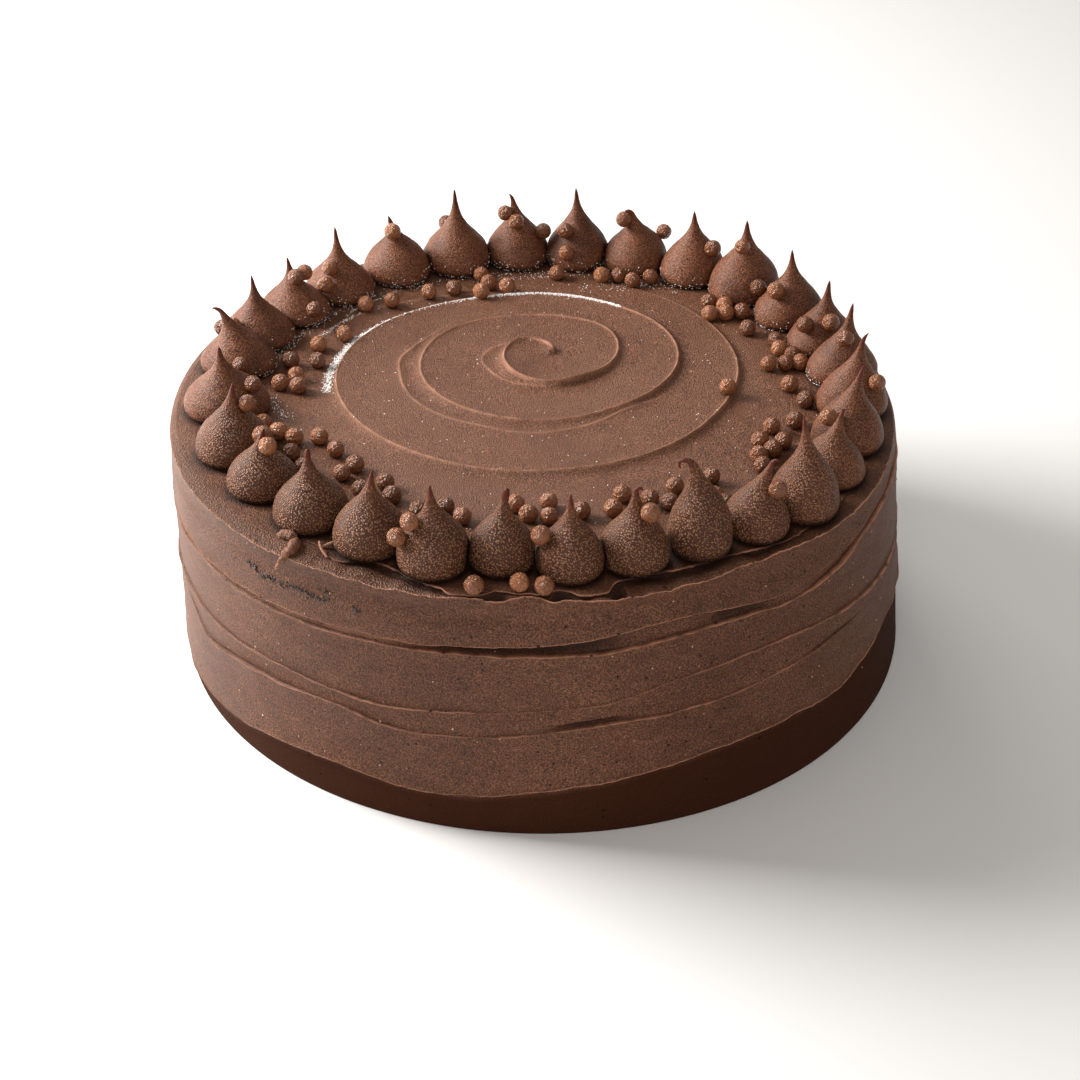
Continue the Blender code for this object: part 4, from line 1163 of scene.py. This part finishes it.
def strand_tree():
    """Build the tree that gives a line a round, uneven thickness."""
    add = GrowingNodes("torn strand", (("Sides", "Int", 14), ("Step", "Float", 0.2 * MM),
                                       ("Roughness", "Float", 0.2 * MM), ("Finish", "Material", None)))
    line = add("GeometryNodeMeshToCurve", {"Mesh": add.inside["Geometry"]}).outputs["Curve"]
    line = add("GeometryNodeCurveSplineType", {"Curve": line}, spline_type="CATMULL_ROM").outputs["Curve"]
    line = add("GeometryNodeResampleCurve", {"Curve": line, "Length": add.inside["Step"]},
               mode="LENGTH").outputs["Curve"]
    body = add.tube(line, add.stored("half"), add.inside["Sides"])
    return add.ended(add.roughened(body, 900.0, add.inside["Roughness"]))


torn_maker = strand_tree()
for name, (path, halves) in TORN_BITS.items():
    spots = []
    for bearing, distance, height in path:
        spots.append(from_middle(math.radians(bearing), distance * MM, height * MM))
    torn = new_line(name, spots)
    mark(torn, "half", np.array(halves) * MM)
    thick = max(halves) > 0.8
    grow(torn, torn_maker, {"Sides": 14, "Step": 0.2 * MM, "Roughness": (1.5 if thick else 0.5) * MM,
                            "Finish": side_finish})
    count = len(torn.data.vertices)
    widths = np.zeros(count, np.float32)
    torn.data.attributes["half"].data.foreach_get("value", widths)
    mark(torn, "pale_edge", 0.16 + 0.3 * (1.0 - rise(widths, 0.2 * MM, 0.7 * MM)))
    mark(torn, "dew", np.full(count, 0.8 if name == "torn_crumb" else 0.15))
    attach(torn, "root")
    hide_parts("cake_body")


# The painted glints, the crumbs and the dark nicks.
# Small white bits in the spiral's outer furrow and round the feet of the kisses at the back are painted
# glints on fine dew.
# Pale crumbs of cake stick to the coat, and a row of small dark nicks crosses its front left.
GLINT_TURNS = (2.12, 2.52)

# Along the furrow: (turn, mm from its middle), then (turn, mm that the glints spread).
GLINT_ASIDE = ((2.12, -0.2), (2.20, 0.0), (2.27, 0.1), (2.36, 0.9), (2.43, 1.5), (2.47, 1.6),
               (2.52, 2.7))
GLINT_SPREAD = ((2.12, 0.14), (2.2, 0.28), (2.3, 0.42), (2.4, 0.55), (2.46, 0.75), (2.52, 0.7))

# Lighter drifts: from (bearing, distance in mm) to (bearing, distance), glints, spread in mm.
GLINT_DRIFTS = (((-130.5, 71.5), (-147.0, 74.0), 70, 0.35), ((-165, 70), (-185, 72), 60, 0.6),
                ((168, 66), (150, 74), 60, 2.5), ((-178, 66), (178, 50), 25, 1.0),
                ((-150, 74), (-215, 75), 150, 1.0), ((-105, 74), (-150, 75.5), 130, 0.9),
                ((-90, 71.8), (-78, 67.2), 70, 1.1), ((-117, 69.2), (-134, 69.3), 110, 0.35))
FURROW_GLINTS = 3700
LOOSE_GLINTS = 170
GLINTS_AT_A_FOOT = 64
GLINTING_KISSES = range(15, 29)
CRUMBS_ON_SIDE = 230
CRUMBS_ON_TOP = 120
BITS_IN_A_NICK = 5

# The nicks' middles, as (bearing, height in mm).
NICKS = ((-46.3, 61.4), (-45.4, 61.0), (-44.3, 60.4), (-43.4, 60.2), (-42.6, 59.9), (-41.5, 60.5),
         (-40.4, 60.6), (-39.4, 60.5), (-38.4, 60.3), (-37.6, 60.9), (-36.8, 61.1), (-35.9, 61.2),
         (-35.0, 61.2), (-34.2, 61.1), (-33.9, 60.1), (-32.8, 61.1), (-32.1, 60.7), (-31.1, 63.3),
         (-31.0, 61.3), (-26.0, 60.9), (-25.4, 60.6))


def bits_tree():
    """Build the tree that puts a small rough bit at every point."""
    add = GrowingNodes("small bits", (
        ("Smallest", "Vector", (0.0001, 0.0001, 0.0001)), ("Largest", "Vector", (0.0003, 0.0003, 0.0003)),
        ("Seed", "Int", 1), ("Finish", "Material", None)))
    bit = add("GeometryNodeMeshIcoSphere", {"Radius": 1.0, "Subdivisions": 1}).outputs["Mesh"]
    size = add.random("FLOAT_VECTOR", *(add.inside[name] for name in ("Smallest", "Largest", "Seed")))
    return add.ended(add.scatter(bit, size, 7), smooth=False)


def on_top(spot):
    """Give the point of the spread top below a place."""
    hit = top_surface.ray_cast(Vector((spot[0], spot[1], 0.2)), Vector((0, 0, -1)))[0]
    return hit if hit else Vector((spot[0], spot[1], BODY_HEIGHT))


def on_side(bearing, height):
    """Give the point of the scraped side at a bearing and height."""
    out = way_out(math.radians(bearing))
    return side_surface.ray_cast(Vector((lean_at(height), 0.0, height)) + out * 0.2, -out)[0]


def strewn_on_top(count, within):
    """Draw places all over the top, within a distance of its middle."""
    for _ in range(count):
        angle, reach = draw.uniform(0, 2 * math.pi), within * math.sqrt(draw.uniform())
        yield on_top(from_middle(angle, reach))


side_surface = surface_of(side)
draw = np.random.default_rng(17)
glint_spots = []
for _ in range(FURROW_GLINTS):
    turn = GLINT_TURNS[0] + (GLINT_TURNS[1] - GLINT_TURNS[0]) * draw.uniform() ** 0.9
    aside, spread = (np.interp(turn, *np.array(line).T) for line in (GLINT_ASIDE, GLINT_SPREAD))
    aside += draw.normal() * spread
    middle_x, middle_y = spiral_middle(np.array([turn]))
    angle = math.radians(SPIRAL_START_BEARING + 360.0 * turn)
    reach = SPIRAL_START_RADIUS + SPIRAL_GROWTH * turn + stray_at(np.array([turn]))[0] + aside
    glint_spots.append(on_top(((middle_x[0] + reach * math.sin(angle)) * MM,
                               (middle_y[0] - reach * math.cos(angle)) * MM)))
for start, end, count, spread in GLINT_DRIFTS:
    for share in draw.uniform(size=count):
        angle = math.radians(start[0] + (end[0] - start[0]) * share)
        reach = start[1] + (end[1] - start[1]) * share + draw.normal() * spread
        glint_spots.append(on_top(from_middle(angle, reach * MM)))
glint_spots.extend(strewn_on_top(LOOSE_GLINTS, 80 * MM))
for number in GLINTING_KISSES:
    bearing, ring = KISSES[number - 1][:2]
    angle = math.radians(bearing)
    axis = from_middle(angle, ring * MM)
    for _ in range(GLINTS_AT_A_FOOT):
        turn = angle + math.pi + draw.normal() * 0.8
        axis.z = BODY_HEIGHT + (0.35 + 3.6 * draw.uniform() ** 2.5) * MM
        glint_spots.append(kiss_surfaces[number - 1].ray_cast(axis, way_out(turn))[0])
crumb_spots = [on_side(draw.uniform(0, 360), draw.uniform(14, 69) * MM) for _ in range(CRUMBS_ON_SIDE)]
crumb_spots.extend(strewn_on_top(CRUMBS_ON_TOP, 84 * MM))
nick_spots = []
for bearing, height in NICKS:
    for _ in range(BITS_IN_A_NICK):
        nick_spots.append(on_side(bearing + draw.normal() * 0.4, (height + draw.normal() * 0.35) * MM))


def plain_bit_material(name, low, high, roughness):
    """Make a bit's material: a colour that changes from bit to bit, and a fine grain."""
    made, add, shader, place = start_material(name)
    grain = add.noise(place, 900.0, 2.0)
    add.link(add.colours(grain, ((0.4, low), (0.6, high))), shader.inputs["Base Color"])
    add.dent(shader, grain, 0.6, 0.0001)
    shader.inputs["Roughness"].default_value = roughness
    return made


# White bits painted as glints on the dew.
glint_finish = plain_bit_material("painted_dew_glints", (0.70, 0.68, 0.66), (0.92, 0.91, 0.90), 0.35)
crumb_finish = plain_bit_material("pale_crumb", (0.28, 0.14, 0.078), (0.50, 0.31, 0.20), 0.6)
nick_finish = plain_bit_material("dark_nick", (0.012, 0.007, 0.006), (0.030, 0.018, 0.014), 0.5)
bit_maker = bits_tree()
for name, spots, low, high, finish in (
        ("painted_dew_glints", glint_spots, (0.10, 0.10, 0.08), (0.27, 0.25, 0.18), glint_finish),
        ("pale_crumbs", crumb_spots, (0.14, 0.14, 0.12), (0.46, 0.36, 0.24), crumb_finish),
        ("dark_nicks", nick_spots, (0.22, 0.18, 0.14), (0.62, 0.5, 0.32), nick_finish)):
    bits = new_piece(name, [spot for spot in spots if spot], [], finish, smooth=False)
    grow(bits, bit_maker, {"Smallest": [v * MM for v in low], "Largest": [v * MM for v in high],
                           "Seed": 4, "Finish": finish})
    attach(bits, "root")
    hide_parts("cake_body")


# The camera, the table and the light.
# The camera stands where the photograph's did. The table is plain and pale. Two soft windows, at
# the left and behind, and a fainter one in front light it, with a pale room round it.
CAMERA_DISTANCE = 0.57699
CAMERA_HEIGHT = 0.39633
CAMERA_PITCH = 32.853
CAMERA_ROLL = 0.0713
CAMERA_LENS = 80.48
CAMERA_SENSOR = 36.0
TABLE_HALF = 4.0

camera_data = bpy.data.cameras.new("camera")
camera_data.sensor_width = CAMERA_SENSOR
camera_data.lens = CAMERA_LENS
camera = bpy.data.objects.new("camera", camera_data)
camera.location = (FOOT_SHIFT, -CAMERA_DISTANCE, CAMERA_HEIGHT)
camera.rotation_euler = (math.radians(90.0 - CAMERA_PITCH), 0.0, math.radians(CAMERA_ROLL))
bpy.context.scene.collection.objects.link(camera)
bpy.context.scene.camera = camera

floor_finish, _, shader, _ = start_material("pale_table")
shader.inputs["Base Color"].default_value = (0.86, 0.86, 0.86, 1.0)
shader.inputs["Roughness"].default_value = 0.6
corners = [(x * TABLE_HALF, y * TABLE_HALF, 0) for x, y in ((-1, -1), (1, -1), (1, 1), (-1, 1))]
floor = new_piece("table", corners, [(0, 1, 2, 3)], floor_finish, smooth=False)


def soft_light(name, place, aim, size, power, colour):
    """Hang a square soft light at a place, turned to what it lights."""
    data = bpy.data.lights.new(name, "AREA")
    data.shape = "SQUARE"
    data.size = size
    data.energy = power
    data.color = colour
    made = bpy.data.objects.new(name, data)
    made.location = place
    made.rotation_euler = (Vector(aim) - Vector(place)).to_track_quat("-Z", "Y").to_euler()
    bpy.context.scene.collection.objects.link(made)


soft_light("window_left", (-0.52, 0.15, 0.36), (0.0, 0.0, 0.05), 0.32, 9.9, (1.0, 0.975, 0.95))
soft_light("window_behind", (-0.30, 0.80, 0.46), (0.0, 0.0, 0.05), 0.5, 2.7, (1.0, 0.96, 0.92))
soft_light("front_fill", (0.14, -1.2, 0.56), (0.0, 0.0, 0.03), 0.9, 4.9, (1.0, 0.94, 0.88))
room = bpy.data.worlds.new("white_room")
room.use_nodes = True
room.node_tree.nodes["Background"].inputs["Color"].default_value = (1.0, 0.96, 0.92, 1.0)
room.node_tree.nodes["Background"].inputs["Strength"].default_value = 0.37
bpy.context.scene.world = room
bpy.context.scene.view_settings.view_transform = "Standard"
